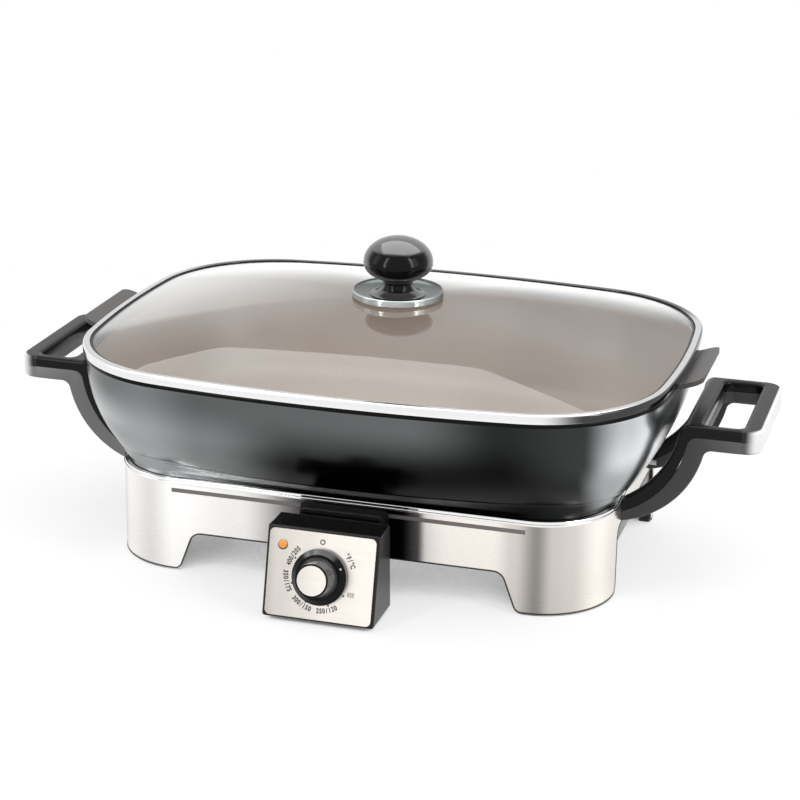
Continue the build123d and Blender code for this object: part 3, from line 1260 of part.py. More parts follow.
with BuildPart() as control_screws:
    for height in CONTROL_POST_LEVELS:
        with BuildSketch(upright(screw_seat(height))):
            with Locations((0, height)):
                with GridLocations(CONTROL_POST_ACROSS, 1, 2, 1):
                    Circle(CONTROL_SCREW_HEAD)
        extrude(amount=-CONTROL_SCREW_HEAD_HEIGHT)
        with BuildSketch(upright(screw_seat(height))):
            with Locations((0, height)):
                with GridLocations(CONTROL_POST_ACROSS, 1, 2, 1):
                    Circle(CONTROL_SCREW_RADIUS)
        extrude(amount=CONTROL_SCREW_LENGTH)
save(control_screws.part, "control_screws")

# Dial: a turned knob on a shaft that runs through the face, with a metal cap in its end
DIAL_SIDE = Plane(origin=face_plane(0).origin, x_dir=(1, 0, 0), z_dir=face_plane(0).y_dir)
DIAL_TOP = DIAL_GAP + DIAL_HEIGHT
DIAL_SHOULDER = DIAL_GAP + DIAL_SKIRT_HEIGHT

with BuildPart() as dial_knob:
    with BuildSketch(DIAL_SIDE):
        with BuildLine():
            Polyline(
                (0, -DIAL_GAP),
                (DIAL_SKIRT_RADIUS, -DIAL_GAP),
                (DIAL_SKIRT_RADIUS, -DIAL_SHOULDER),
                (DIAL_GRIP_RADIUS, -DIAL_SHOULDER - DIAL_BEVEL),
                (DIAL_GRIP_FOOT, -DIAL_SHOULDER - DIAL_BEVEL),
                (DIAL_GRIP_TOP, -DIAL_TOP),
                (0, -DIAL_TOP),
                close=True,
            )
        make_face()
    revolve(axis=FACE_AXIS)
    with BuildSketch(face_plane(DIAL_TOP - DIAL_CAP_DEPTH)):
        Circle(DIAL_CAP_RADIUS + GAP_BORE)
    extrude(amount=DIAL_CAP_DEPTH, mode=Mode.SUBTRACT)
    with BuildSketch(face_plane(DIAL_GAP)):
        Circle(DIAL_SHAFT_RADIUS + GAP_BORE)
    extrude(amount=DIAL_SHAFT_SOCKET, mode=Mode.SUBTRACT)
save(dial_knob.part, "dial_knob")

with BuildPart() as dial_cap:
    with BuildSketch(face_plane(DIAL_TOP - DIAL_CAP_DEPTH)):
        Circle(DIAL_CAP_RADIUS)
    extrude(amount=DIAL_CAP_DEPTH + DIAL_CAP_PROUD)
save(dial_cap.part, "dial_cap")

with BuildPart() as dial_shaft:
    with BuildSketch(face_plane(DIAL_GAP + DIAL_SHAFT_SOCKET)):
        Circle(DIAL_SHAFT_RADIUS)
    extrude(amount=FRONT_BLADE + GAP_SLIDE - DIAL_GAP - DIAL_SHAFT_SOCKET)
    with BuildSketch(face_plane(-CONTROL_WALL - GAP_SLIDE)):
        Circle(DIAL_COLLAR_RADIUS)
    extrude(amount=-DIAL_COLLAR_HEIGHT)
save(dial_shaft.part, "dial_shaft")
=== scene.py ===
import math
from collections import namedtuple

import bpy
import numpy as np
from mathutils import Matrix, Vector
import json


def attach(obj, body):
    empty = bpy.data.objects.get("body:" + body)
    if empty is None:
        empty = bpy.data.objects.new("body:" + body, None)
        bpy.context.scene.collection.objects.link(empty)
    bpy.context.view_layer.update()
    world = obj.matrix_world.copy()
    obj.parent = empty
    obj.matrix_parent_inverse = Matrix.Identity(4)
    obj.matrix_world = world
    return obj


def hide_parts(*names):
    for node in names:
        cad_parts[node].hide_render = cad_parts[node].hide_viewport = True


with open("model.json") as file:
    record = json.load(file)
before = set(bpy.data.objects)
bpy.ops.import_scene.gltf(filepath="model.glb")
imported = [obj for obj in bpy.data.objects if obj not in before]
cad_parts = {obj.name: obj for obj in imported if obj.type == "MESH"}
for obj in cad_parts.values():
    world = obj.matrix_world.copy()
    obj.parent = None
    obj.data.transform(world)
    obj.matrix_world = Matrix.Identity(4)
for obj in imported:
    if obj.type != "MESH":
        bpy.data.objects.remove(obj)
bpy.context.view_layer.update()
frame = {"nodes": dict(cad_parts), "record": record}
nodes = frame["nodes"]

# An electric skillet. Sizes below are in millimetres, with the pan's centre at x 0 and y 0;
# PAN_Y moves them into the frame, whose origin is the middle of the whole object's footprint.
MM = 0.001
PAN_Y = 17.073

# Outlines: half length, half width, bow of the long sides, bow of the short sides, corner radius
LID = (205.0, 157.0, 22.0, 17.0, 92.0)
WALL = (203.1, 155.1, 22.0, 17.0, 90.1)
CREASE = (183.4, 131.8, 25.0, 14.4, 60.0)
FOOT = (169.7, 116.4, 0.6, 0.6, 47.5)
SIDE_STEPS = 20
CORNER_STEPS = 22

# Pan
PAN_BOTTOM = 62.1
FOOT_ROUND = 1.0
FOOT_STRAIGHT = (64.5, 66.0)
FOOT_TOP = 66.4
CREASE_Z = 78.0
WALL_TOP = 139.5
PAN_TOP = 142.2
WALL_POWER = 2.27
WALL_SKIN = 3.0
WALL_RINGS = 30
INSIDE_TOP = 141.2
INSIDE_RINGS = 24
FLOOR_KNEE = (10.0, 68.0)
FLOOR_START = (27.0, 66.1)
FLOOR_RINGS = 12
# Lip: inset from the lid's outline and height, from the wall over the rim and a little way inside
LIP = (
    (1.5, WALL_TOP), (0.9, WALL_TOP), (0.65, WALL_TOP + 0.25), (0.6, 140.4), (0.6, 141.4), (0.66, 141.8),
    (0.85, 142.08), (1.2, PAN_TOP), (3.9, PAN_TOP), (4.5, 142.1), (4.8, 141.8),
)
LIP_RINGS_INSIDE = 4

# Lid: the band's profile as inset and height with the radius of each corner, and the glass
BAND = (
    (0.0, 142.3), (0.0, 148.3), (5.0, 148.3), (5.0, 147.3), (1.0, 147.3), (1.0, 143.3),
    (7.1, 143.3), (7.1, 137.3), (5.9, 137.3), (5.9, 142.3),
)
BAND_ROUND = (0.7, 1.6, 0.45, 0.3, 0.4, 0.4, 0.9, 0.5, 0.5, 0.5)
GLASS_FOOT = 143.5
GLASS_SHOULDER = 146.9
GLASS_RISE = 25.0
GLASS_SKIN = 3.6
GLASS_BORDER = 6.0
CROWN_SHARE = 0.15
CROWN_SHARES = (0.8, 0.5, 0.2, 0.0)
DOME_RINGS = 34
SEAL_SHARE = 0.996
HOLE_RADIUS = 4.0
GLASS_EDGE = (
    (9.2, GLASS_FOOT), (1.9, GLASS_FOOT), (1.4, GLASS_FOOT + 0.3), (1.2, GLASS_FOOT + 0.9),
    (1.2, GLASS_SHOULDER - 0.9), (1.4, GLASS_SHOULDER - 0.3), (1.9, GLASS_SHOULDER), (5.0, GLASS_SHOULDER),
)

# Handles
END_X = 172.7
HANDLE_OUT = 262.0
HANDLE_HALF = 54.5
HANDLE_BAR_IN = 47.5
HANDLE_TOP = 119.5
HANDLE_SPLIT = 111.9
HANDLE_BOTTOM = 103.2
LOOP_X = 209.0
HOLE_X0 = 223.0
HOLE_X1 = 249.0
HANDLE_CORNER = 11.5
HOLE_CORNER = 5.5
BAR_X = 224.0
ARM_X = 240.0
STEP_X = 244.0
BAND_X = 249.0
BAND_WALL = 2.0
BAND_GAP = 0.05
TOP_ROUND = 2.4
BOTTOM_ROUND = 2.0
SPLIT_ROUND = 0.35
SPLIT_GAP = 0.2
# Rows of points in from an edge, closer together where the edge rolls off
EDGE_OFFSETS = np.array((0.0, 0.05, 0.2, 0.45, 0.85, 1.5, 2.4))
BAND_OFFSETS = np.array((0.0, 0.04, 0.12, 0.25, 0.42, 0.62, 0.8))

# Apron: its outline, and a dark strip of painted shade along its arches and feet
APRON_END = 172.5
APRON_HALF_Y = 119.2
APRON_CORNER = 50.3
EDGE_WIDTH = 1.0
EDGE_PROUD = 0.22
EDGE_SUNK = -0.02
FOOT_Z = 1.0
FOOT_STEPS = 12
FOOT_LEAD = 7.5
FOOT_CORNER = 6.0
ARCH_CORNER = 8.0
GROOVE_X = (-122.0, 122.0)
GROOVE_Y = (-119.05, -118.62)
GROOVE_Z = (56.8, 59.5)

# Control face: its middle, its outward normal and the direction up along it
FACE_MID = np.array((0.0, -153.777, 32.0))
FACE_OUT = np.array((0.0, -0.970336, 0.241762))
FACE_UP = np.array((0.0, 0.241762, 0.970336))

# Marks on it: turns are clockwise from straight up in degrees, distances are from the dial's centre
SCALE_UP = 0.7
INK_SUNK = 0.005
INK_DEPTH = 0.05
TEXT_SIZE = 4.5
TEXT_NARROW = 0.78
TEXT_PITCH = 0.46
TEXT_DROP = 0.35
TEXT_BOLD = 0.04
# Name, text, turn, distance, and whether the letters' tops point away from the dial
LABELS = (
    ("scale_250", "250/120", 164.5, 22.8, False),
    ("scale_300", "300/150", 209.5, 22.9, False),
    ("scale_350", "350/175", 255.0, 23.2, False),
    ("scale_400", "400/205", 299.4, 22.5, True),
    ("scale_units", "°F/°C", 58.2, 22.9, True),
)
DOT_TURNS = (124.5, 160.0, 205.0, 249.5, 298.6)
DOT_DISTANCE = 19.9
DOT_RADIUS = 0.66
OFF_DISTANCE = 21.8
OFF_OUTSIDE = 1.8
OFF_INSIDE = 1.1
WAVE_TURN = 115.4
WAVE_DISTANCE = 23.5
WAVE_SHIFTS = (-1.6, 0.0, 1.6)
WAVE_HALF = 1.6
WAVE_SWING = 0.45
WAVE_SPEED = 2.8
WAVE_PEN = 0.32
WAVE_STEPS = 25
POINTER_TURN = 63.5
POINTER_DISTANCE = 16.3
POINTER_RADIUS = 0.7
POINTER_OUT = 4.75
POINTER_DEPTH = 0.12
LENS_RIM_IN = 2.75
LENS_RIM_OUT = 3.3
LENS_RIM_SUNK = 0.02
LENS_RIM_DEPTH = 0.35

# Colours are linear. Each finish: name, low and high colour, low and high roughness, metal, grain
# in lines per metre (one number, or one for each of x, y and z), then bump in metres and specular
# level where they aren't nought and a half
FINISHES = (
    ("brushed_apron", (0.975, 0.955, 0.935), (1.0, 0.985, 0.965), (0.26, 0.3), 1.0,
     (6.0, 6.0, 3000.0), 0.00001),
    ("bright_trim", (0.8, 0.8, 0.79), (0.88, 0.88, 0.87), (0.05, 0.1), 1.0, 40.0),
    ("lid_band_metal", (0.82, 0.83, 0.83), (0.92, 0.92, 0.91), (0.1, 0.16), 1.0, 40.0),
    # Near white for the end band's painted white reflection; its darker colours are multiplied in below
    ("handle_end_metal", 0.9, 0.97, (0.22, 0.3), 0.0, 60.0, 0.0, 0.3),
    ("foot_rubber", 0.02, 0.03, (0.6, 0.8), 0.0, 300.0),
    # Darker than bare steel: painted shade under the pan
    ("tray_steel", 0.2, (0.28, 0.28, 0.275), (0.3, 0.45), 1.0, (400.0, 20.0, 400.0)),
    ("cast_aluminium", 0.45, 0.6, (0.45, 0.6), 1.0, 500.0, 0.0001),
    ("screw_steel", 0.5, (0.62, 0.62, 0.6), (0.25, 0.35), 1.0, 200.0),
    ("element_sheath", (0.06, 0.055, 0.05), (0.14, 0.12, 0.1), (0.4, 0.55), 1.0, 120.0),
    ("ceramic_insulator", (0.7, 0.66, 0.58), (0.78, 0.75, 0.68), (0.6, 0.75), 0.0, 300.0),
    ("pin_brass", (0.55, 0.38, 0.15), (0.68, 0.5, 0.22), (0.25, 0.35), 1.0, 150.0),
    ("handle_matte", 0.9, 1.0, (0.42, 0.52), 0.0, 1500.0, 0.00003),
    ("handle_gloss", (0.004, 0.0038, 0.0035), (0.007, 0.0066, 0.0062), (0.2, 0.28), 0.0, 900.0, 0.0, 0.15),
    ("knob_gloss", 0.9, 1.0, (0.1, 0.13), 0.0, 80.0),
    ("control_gloss", 0.005, (0.01, 0.009, 0.008), (0.2, 0.28), 0.0, 700.0, 0.0, 0.25),
    ("collar_steel", (0.1, 0.115, 0.115), (0.15, 0.165, 0.16), (0.24, 0.3), 1.0, 60.0),
    ("collar_ring_steel", (0.5, 0.54, 0.54), (0.62, 0.66, 0.66), (0.16, 0.2), 1.0, 60.0),
    ("face_metal", (0.76, 0.72, 0.67), (0.84, 0.8, 0.75), (0.3, 0.4), 1.0, (12.0, 900.0, 900.0), 0.00002),
    ("lens_rim", (0.06, 0.03, 0.015), (0.09, 0.045, 0.02), (0.3, 0.4), 0.0, 900.0),
    # Dark strip of painted shade along the apron's arches and feet
    ("apron_edge", 0.03, (0.06, 0.058, 0.055), (0.35, 0.45), 0.6, 300.0),
    ("socket_steel", 0.015, 0.025, (0.3, 0.4), 0.5, 200.0, 0.0, 0.3),
    ("phenolic", (0.02, 0.017, 0.014), (0.035, 0.03, 0.026), (0.4, 0.55), 0.0, 400.0),
    ("gasket_rubber", 0.03, 0.045, (0.6, 0.75), 0.0, 400.0),
    ("scale_ink", 0.008, 0.014, (0.4, 0.5), 0.0, 2000.0),
    ("dial_dot", (0.7, 0.7, 0.68), (0.8, 0.8, 0.78), (0.4, 0.5), 0.0, 2000.0),
    # Painted shade along the apron's groove
    ("groove_strip", (0.15, 0.135, 0.135), (0.22, 0.2, 0.2), (0.35, 0.45), 0.6, (8.0, 8.0, 2500.0)),
    ("pan_outside", (0.88, 0.92, 0.94), (0.95, 0.99, 1.0), (0.2, 0.26), 1.0, 90.0),
    ("pan_inside", (0.27, 0.205, 0.17), (0.34, 0.265, 0.22), (0.35, 0.45), 0.0, 700.0, 0.00003),
    ("pan_ear_coat", (0.05, 0.046, 0.044), (0.07, 0.065, 0.062), (0.4, 0.5), 0.0, 700.0, 0.00003),
)
NOISE_SPAN = (0.3, 0.7)

# Painted light and shade: tones that stand for what a studio's walls and boxes reflect and for where light
# falls, as pairs of x in metres and a grey
APRON_REFLECTIONS = (
    (-0.173, 0.4), (-0.16, 0.95), (-0.139, 0.75), (-0.12, 1.0), (-0.075, 0.85), (-0.03, 0.1), (-0.015, 0.01),
    (0.038, 0.01), (0.05, 0.12), (0.056, 0.85), (0.07, 0.9), (0.1, 0.9), (0.115, 0.65), (0.13, 0.28),
    (0.141, 0.6), (0.152, 0.65), (0.167, 1.0), (0.173, 0.9),
)
LAYER_LIGHT_AND_SHADE = ((-0.262, 0.26), (-0.2, 0.2), (0.2, 0.06), (0.262, 0.12))
MATTE_LIGHT_AND_SHADE = ((-0.262, 0.26), (-0.215, 0.17), (-0.172, 0.22), (0.172, 0.03), (0.215, 0.035), (0.262, 0.12))
FACE_LIGHT_AND_SHADE = ((-0.038, 0.5), (-0.028, 0.64), (-0.012, 0.74), (0.008, 0.92), (0.038, 1.0))
PAN_HIGH_LIGHT_AND_SHADE = (
    (-0.205, 0.15), (-0.165, 0.17), (-0.135, 0.22), (-0.09, 0.12), (-0.02, 0.13), (0.05, 0.14),
    (0.11, 0.025), (0.16, 0.045), (0.185, 0.6), (0.198, 0.9), (0.205, 0.4),
)
PAN_MIDDLE_LIGHT_AND_SHADE = (
    (-0.2, 0.3), (-0.17, 0.5), (-0.135, 0.38), (-0.09, 0.23), (-0.02, 0.045), (0.05, 0.025), (0.11, 0.006),
    (0.16, 0.045), (0.182, 0.8), (0.195, 0.9), (0.2, 0.3),
)
PAN_LOW_LIGHT_AND_SHADE = (
    (-0.19, 0.2), (-0.135, 0.35), (-0.09, 0.2), (-0.03, 0.005), (0.06, 0.002), (0.11, 0.003),
    (0.155, 0.02), (0.172, 0.4), (0.19, 0.5),
)
# Painted reflection on the apron's rear, painted shade on its inside, and a painted warm reflection on its
# right half
APRON_REAR_REFLECTION = 0.75
APRON_INSIDE_SHADE = 0.05
APRON_WARM_REFLECTION = (1.0, 0.96, 0.925)
# Painted reflection on the lid's band: its top flange, and the parts that turn right and back
BAND_FLANGE_REFLECTION = 0.72
BAND_AWAY_REFLECTION = 0.07
CAP_BAND = 0.008
KNOB_DARK = 0.002
# Painted grey reflection on the knob
KNOB_REFLECTION = 0.075
# Painted darker reflection on the rear of the collar's ring
RING_REAR_REFLECTION = 0.25
PAN_LIP = 0.012

# Lights: name, place, target, width, height and radiance, in metres
LIGHTS = (
    ("top_box", (0.0, 0.25, 1.25), (0.0, 0.0, 0.0), 1.7, 1.3, 2.0),
    ("left_box", (-1.3, -0.5, 0.7), (0.0, 0.0, 0.1), 0.5, 1.1, 1.3),
    ("right_box", (1.35, -0.35, 0.7), (0.0, 0.0, 0.1), 0.5, 1.1, 1.8),
    ("left_strip", (-0.68, -1.22, 0.75), (0.0, 0.0, 0.15), 0.18, 1.4, 9.0),
    ("right_strip", (1.2, -0.6, 0.75), (0.0, 0.0, 0.15), 0.18, 1.4, 9.0),
)
FLOOR_HALF = 8.0
FLOOR_NEAR = 0.3
FLOOR_LIFT = 0.72
# Dim glow of the floor's painted shadow under the object
FLOOR_SHADOW_GLOW = 0.05
FLOOR_BOUNCE = 0.45
WORLD_DIM = 0.35

# Camera, fitted to the photo
AZIMUTH = 0.28002331395812197
ELEVATION = 0.3314344916720845
ROLL = 0.014178035303216836
DISTANCE = 1619.3719
TARGET = np.array((2.5792, -0.0047, 96.6354))
FOCAL_PIXELS = 2313.0859
PICTURE = 800.0
SENSOR = 36.0

# Shapes
def outline(shape, inset=0.0, share=1.0):
    """Closed outline of four bowed sides and round corners, an array of points (n, 2).

    Each side is an arc of radius (half^2 + bow^2) / (2 bow) through the half length or half
    width in its middle. The corner arc touches both from inside. An inset takes the same
    amount from every radius, and a share scales the whole about the centre. The number of
    points on each arc is fixed, so that rows of different outlines line up.
    """
    half_x, half_y, bow_x, bow_y, corner = shape
    radius_x = (half_x**2 + bow_x**2) / (2 * bow_x)
    radius_y = (half_y**2 + bow_y**2) / (2 * bow_y)
    a = np.array((0.0, half_y - radius_x))
    b = np.array((half_x - radius_y, 0.0))
    gap = b - a
    length = np.hypot(*gap)
    reach_a, reach_b = radius_x - corner, radius_y - corner
    along = (reach_a**2 - reach_b**2 + length**2) / (2 * length)
    across = math.sqrt(max(reach_a**2 - along**2, 0.0))
    unit = gap / length
    centre = a + unit * along + np.array((unit[1], -unit[0])) * across
    if centre.sum() < 0:
        centre = a + unit * along - np.array((unit[1], -unit[0])) * across
    turn_a = math.atan2(*(centre - a)[::-1])
    turn_b = math.atan2(*(centre - b)[::-1])

    def arc(middle, radius, first, last, steps):
        turns = np.linspace(first, last, steps, endpoint=False)
        return middle + (radius - inset) * np.stack((np.cos(turns), np.sin(turns)), 1)

    quarter = np.concatenate((
        arc(b, radius_y, 0.0, turn_b, SIDE_STEPS),
        arc(centre, corner, turn_b, turn_a, CORNER_STEPS),
        arc(a, radius_x, turn_a, math.pi / 2, SIDE_STEPS),
    ))
    top = np.array(((0.0, half_y - inset),))
    first = np.concatenate((quarter, top))
    second = quarter[:0:-1] * (-1, 1)
    third = np.concatenate((np.array(((-(half_x - inset), 0.0),)), quarter[1:] * (-1, -1), top * (1, -1)))
    fourth = quarter[:0:-1] * (1, -1)
    return np.concatenate((first, second, third, fourth)) * share

def blend(first, second, share):
    """The outline sizes that lie a share of the way from the first to the second."""
    return tuple(np.array(first) * (1 - share) + np.array(second) * share)

def level(points, height):
    """One ring of points (n, 2) lifted to a height."""
    return np.column_stack((points, np.full(len(points), height)))

def rounded(corners, radii, steps=5, closed=True):
    """A polyline with each corner replaced by an arc of the given radius, tangent to both sides.

    The arc's centre lies on the corner's bisector at radius / sin(half the corner's angle).
    """
    points = np.array(corners, float)
    radii = np.array(radii, float)
    before = np.roll(points, 1, 0) - points
    after = np.roll(points, -1, 0) - points
    before /= np.linalg.norm(before, axis=1, keepdims=True)
    after /= np.linalg.norm(after, axis=1, keepdims=True)
    cosine = np.clip((before * after).sum(1), -0.9999, 0.9999)
    half = np.arccos(cosine) / 2
    cut = (radii / np.tan(half))[:, None]
    middle = before + after
    middle /= np.linalg.norm(middle, axis=1, keepdims=True) + 1e-12
    centre = points + middle * (radii / np.sin(half))[:, None]
    start = points + before * cut - centre
    end = points + after * cut - centre
    share = np.linspace(0, 1, steps + 1)[None, :, None]
    angle = (math.pi - 2 * half)[:, None, None]
    arc = np.sin((1 - share) * angle) * start[:, None] + np.sin(share * angle) * end[:, None]
    arc = arc / np.sin(angle) + centre[:, None]
    sharp = radii < 1e-6
    arc[sharp] = points[sharp][:, None]
    if not closed:
        arc[0] = points[0]
        arc[-1] = points[-1]
    flat = arc.reshape(-1, 2)
    keep = np.ones(len(flat), bool)
    keep[1:] = np.linalg.norm(np.diff(flat, axis=0), axis=1) > 1e-6
    return flat[keep]

def make(name, points, faces, body, look, smooth=40.0, origin_y=PAN_Y):
    """A mesh object from points in millimetres and faces that are rows of point numbers."""
    points = (np.asarray(points, float) + (0.0, origin_y, 0.0)) * MM
    mesh = bpy.data.meshes.new(name)
    mesh.from_pydata(points.tolist(), [], [list(map(int, face)) for face in faces])
    mesh.update()
    mesh.polygons.foreach_set("use_smooth", np.ones(len(mesh.polygons), bool))
    mesh.set_sharp_from_angle(angle=math.radians(smooth))
    piece = bpy.data.objects.new(name, mesh)
    bpy.context.scene.collection.objects.link(piece)
    mesh.materials.append(looks[look])
    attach(piece, body)
    return piece

def paint_rings(piece, faces, ring_points, first, last, look):
    """A second look on the faces that begin at a ring from the first up to before the last."""
    ring = np.array([min(face) // ring_points for face in faces])
    painted = (ring >= first) & (ring < last)
    piece.data.materials.append(looks[look])
    piece.data.polygons.foreach_set("material_index", painted.astype(np.int32))

def grid_faces(rows, columns, wrap_rows=False, wrap_columns=True):
    """Quads of a grid of points numbered row by row, whose rows or columns may close up."""
    row = np.arange(rows if wrap_rows else rows - 1)
    column = np.arange(columns if wrap_columns else columns - 1)
    r, c = np.meshgrid(row, column, indexing="ij")
    r2, c2 = (r + 1) % rows, (c + 1) % columns
    quads = np.stack((r * columns + c, r * columns + c2, r2 * columns + c2, r2 * columns + c), -1)
    return quads.reshape(-1, 4)

def outward(points, faces):
    """The faces, turned round if the volume that they enclose comes out negative."""
    first = points[[face[0] for face in faces]]
    volume = 0.0
    longest = max(len(face) for face in faces)
    padded = np.array([list(face) + [face[-1]] * (longest - len(face)) for face in faces])
    for k in range(1, longest - 1):
        volume += (np.cross(points[padded[:, k]], points[padded[:, k + 1]]) * first).sum()
    return faces if volume > 0 else [tuple(face)[::-1] for face in faces]

def tube(rings, closed=False):
    """Closed surface through rings (m, n, 3). The ends are capped by a fan to the ring's middle,
    or the last ring joins the first one where closed is set."""
    rings = np.asarray(rings, float)
    m, n = rings.shape[:2]
    points = rings.reshape(-1, 3)
    faces = [tuple(quad) for quad in grid_faces(m, n, wrap_rows=closed)]
    if not closed:
        middle = np.stack((rings[0].mean(0), rings[-1].mean(0)))
        points = np.concatenate((points, middle))
        column = np.arange(n)
        after = (column + 1) % n
        low = np.stack((column, np.full(n, m * n), after), 1)
        top = (m - 1) * n
        high = np.stack((top + column, top + after, np.full(n, m * n + 1)), 1)
        faces += [tuple(face) for face in np.concatenate((low, high))]
    return points, outward(points, faces)

# Materials
Place = namedtuple("Place", "x y z out_x out_y out_z")

def feed(tree, node, inputs):
    """Gives each input of a node, by name or number, a value or a link from a socket."""
    for key, value in inputs.items():
        if isinstance(value, bpy.types.NodeSocket):
            tree.links.new(value, node.inputs[key])
        else:
            node.inputs[key].default_value = value
    return node

def add_node(tree, kind, inputs=None, **settings):
    """A new node with its settings and inputs."""
    node = tree.nodes.new(kind)
    for key, value in settings.items():
        setattr(node, key, value)
    return feed(tree, node, inputs or {})

def colour(value):
    """A linear colour with full alpha, from a grey or three channels. A socket stays as it is."""
    if isinstance(value, bpy.types.NodeSocket):
        return value
    return (*np.broadcast_to(value, 3).tolist(), 1.0)

def rise(tree, source, first, last, low=0.0, high=1.0, kind="SMOOTHSTEP"):
    """A step from low to high as the source runs from the first value to the last."""
    values = {"Value": source, "From Min": first, "From Max": last, "To Min": low, "To Max": high}
    return add_node(tree, "ShaderNodeMapRange", values, interpolation_type=kind).outputs["Result"]

def calculated(tree, operation, *values):
    """The result of a sum or other operation on sockets or numbers."""
    return add_node(tree, "ShaderNodeMath", dict(enumerate(values)), operation=operation).outputs[0]

def larger(tree, first, second):
    """The larger of two values."""
    return calculated(tree, "MAXIMUM", first, second)

def mixed(tree, share, first, second, blend_type="MIX"):
    """A mix of two colours, each a socket, a grey or three channels, by a share."""
    inputs = {0: share, 6: colour(first), 7: colour(second)}
    return add_node(tree, "ShaderNodeMix", inputs, data_type="RGBA", blend_type=blend_type).outputs[2]

def mixed_shaders(tree, share, first, second):
    """A mix of two shaders by a share."""
    return add_node(tree, "ShaderNodeMixShader", {0: share, 1: first, 2: second}).outputs[0]

def tones(tree, source, stops):
    """A grey tone that eases through the stops, which are pairs of a source value and a tone."""
    first, last = stops[0][0], stops[-1][0]
    share = rise(tree, source, first, last, kind="LINEAR")
    ramp = add_node(tree, "ShaderNodeValToRGB", {0: share})
    ramp.color_ramp.interpolation = "EASE"
    elements = ramp.color_ramp.elements
    for value, tone in stops[1:-1]:
        elements.new((value - first) / (last - first)).color = colour(tone)
    elements[0].color = colour(stops[0][1])
    elements[len(elements) - 1].color = colour(stops[-1][1])
    return ramp.outputs["Color"]

def new_material(name):
    """A new material, its node tree and its Principled shader."""
    material = bpy.data.materials.new(name)
    material.use_nodes = True
    tree = material.node_tree
    return material, tree, tree.nodes["Principled BSDF"]

def finish_material(name, low, high, rough, metal, grain, bump=0.0, specular=0.5):
    """A surface whose colour and roughness wander between two values by a stretched noise.

    The noise is read from the object's own coordinates, scaled by grain in lines per metre,
    and may also lift the surface as a fine bump.
    """
    material, tree, shader = new_material(name)
    place = add_node(tree, "ShaderNodeTexCoord").outputs["Object"]
    scale = np.broadcast_to(grain, 3).tolist()
    stretched = add_node(tree, "ShaderNodeMapping", {"Vector": place, "Scale": scale}).outputs["Vector"]
    texture = {"Vector": stretched, "Scale": 1.0, "Detail": 3.0, "Roughness": 0.6}
    noise = add_node(tree, "ShaderNodeTexNoise", texture).outputs["Fac"]
    feed(tree, shader, {
        "Base Color": mixed(tree, noise, low, high),
        "Roughness": rise(tree, noise, *NOISE_SPAN, *rough, kind="LINEAR"),
        "Metallic": metal,
        "Specular IOR Level": specular,
    })
    if bump:
        lift = add_node(tree, "ShaderNodeBump", {"Height": noise, "Strength": 1.0, "Distance": bump})
        feed(tree, shader, {"Normal": lift.outputs["Normal"]})
    return material

def lens_material():
    """Translucent amber under a clear gloss coat; its brightness is a painted glow, a faint light of its own,
    paler at its middle where it faces the camera.
    """
    material, tree, shader = new_material("amber_lens")
    facing = add_node(tree, "ShaderNodeLayerWeight", {"Blend": 0.35}).outputs["Facing"]
    tint = mixed(tree, facing, (0.9, 0.33, 0.03), (0.25, 0.06, 0.005))
    feed(tree, shader, {
        "Base Color": tint, "Emission Color": tint, "Emission Strength": 0.15, "Roughness": 0.12,
        "Coat Weight": 1.0,
    })
    return material

def glass_material(name, haze, painted_sheen_high=0.0):
    """Thin clear glass: mostly transparent, with a mirror layer that grows at grazing angles.

    A faint noise varies the haze, and a painted white reflection, a matt white layer, comes up where the
    glass is seen nearly edge on.
    The mirror and the painted reflection are only on faces where light enters.
    """
    material, tree, shader = new_material(name)
    tree.nodes.remove(shader)
    place = add_node(tree, "ShaderNodeTexCoord").outputs["Object"]
    noise = add_node(tree, "ShaderNodeTexNoise", {"Vector": place, "Scale": 9.0, "Detail": 2.0})
    clear = add_node(tree, "ShaderNodeBsdfTransparent", {"Color": colour((0.965, 0.975, 0.97))})
    mirror = add_node(tree, "ShaderNodeBsdfGlossy", {"Color": colour(1.0), "Roughness": 0.03})
    veil = add_node(tree, "ShaderNodeBsdfDiffuse", {"Color": colour((0.97, 0.97, 0.96))})
    fresnel = add_node(tree, "ShaderNodeFresnel", {"IOR": 1.5}).outputs["Fac"]
    leaving = add_node(tree, "ShaderNodeNewGeometry").outputs["Backfacing"]
    entering = calculated(tree, "SUBTRACT", 1.0, leaving)
    once = calculated(tree, "MULTIPLY", fresnel, entering)
    body = mixed_shaders(tree, once, clear.outputs["BSDF"], mirror.outputs["BSDF"])
    edge_on = add_node(tree, "ShaderNodeLayerWeight", {"Blend": 0.5}).outputs["Facing"]
    # Painted white reflection where the glass is seen nearly edge on
    painted_sheen = calculated(tree, "MULTIPLY", rise(tree, edge_on, 0.7, 0.9, 0.0, painted_sheen_high), entering)
    amount = rise(tree, noise.outputs["Fac"], *NOISE_SPAN, 0.0, haze, kind="LINEAR")
    whole = mixed_shaders(tree, larger(tree, amount, painted_sheen), body, veil.outputs["BSDF"])
    feed(tree, tree.nodes["Material Output"], {"Surface": whole})
    return material

def opened(look):
    """The node tree of a look, and sockets for the place in metres and for the normal."""
    tree = looks[look].node_tree
    place = add_node(tree, "ShaderNodeTexCoord").outputs["Object"]
    along = add_node(tree, "ShaderNodeSeparateXYZ", {0: place})
    normal = add_node(tree, "ShaderNodeNewGeometry").outputs["Normal"]
    facing = add_node(tree, "ShaderNodeSeparateXYZ", {0: normal})
    return tree, Place(*along.outputs, *facing.outputs)

def shade(tree, tone):
    """Multiplies the colour of a finish by a tone."""
    socket = tree.nodes["Principled BSDF"].inputs["Base Color"]
    tree.links.new(mixed(tree, 1.0, socket.links[0].from_socket, tone, "MULTIPLY"), socket)

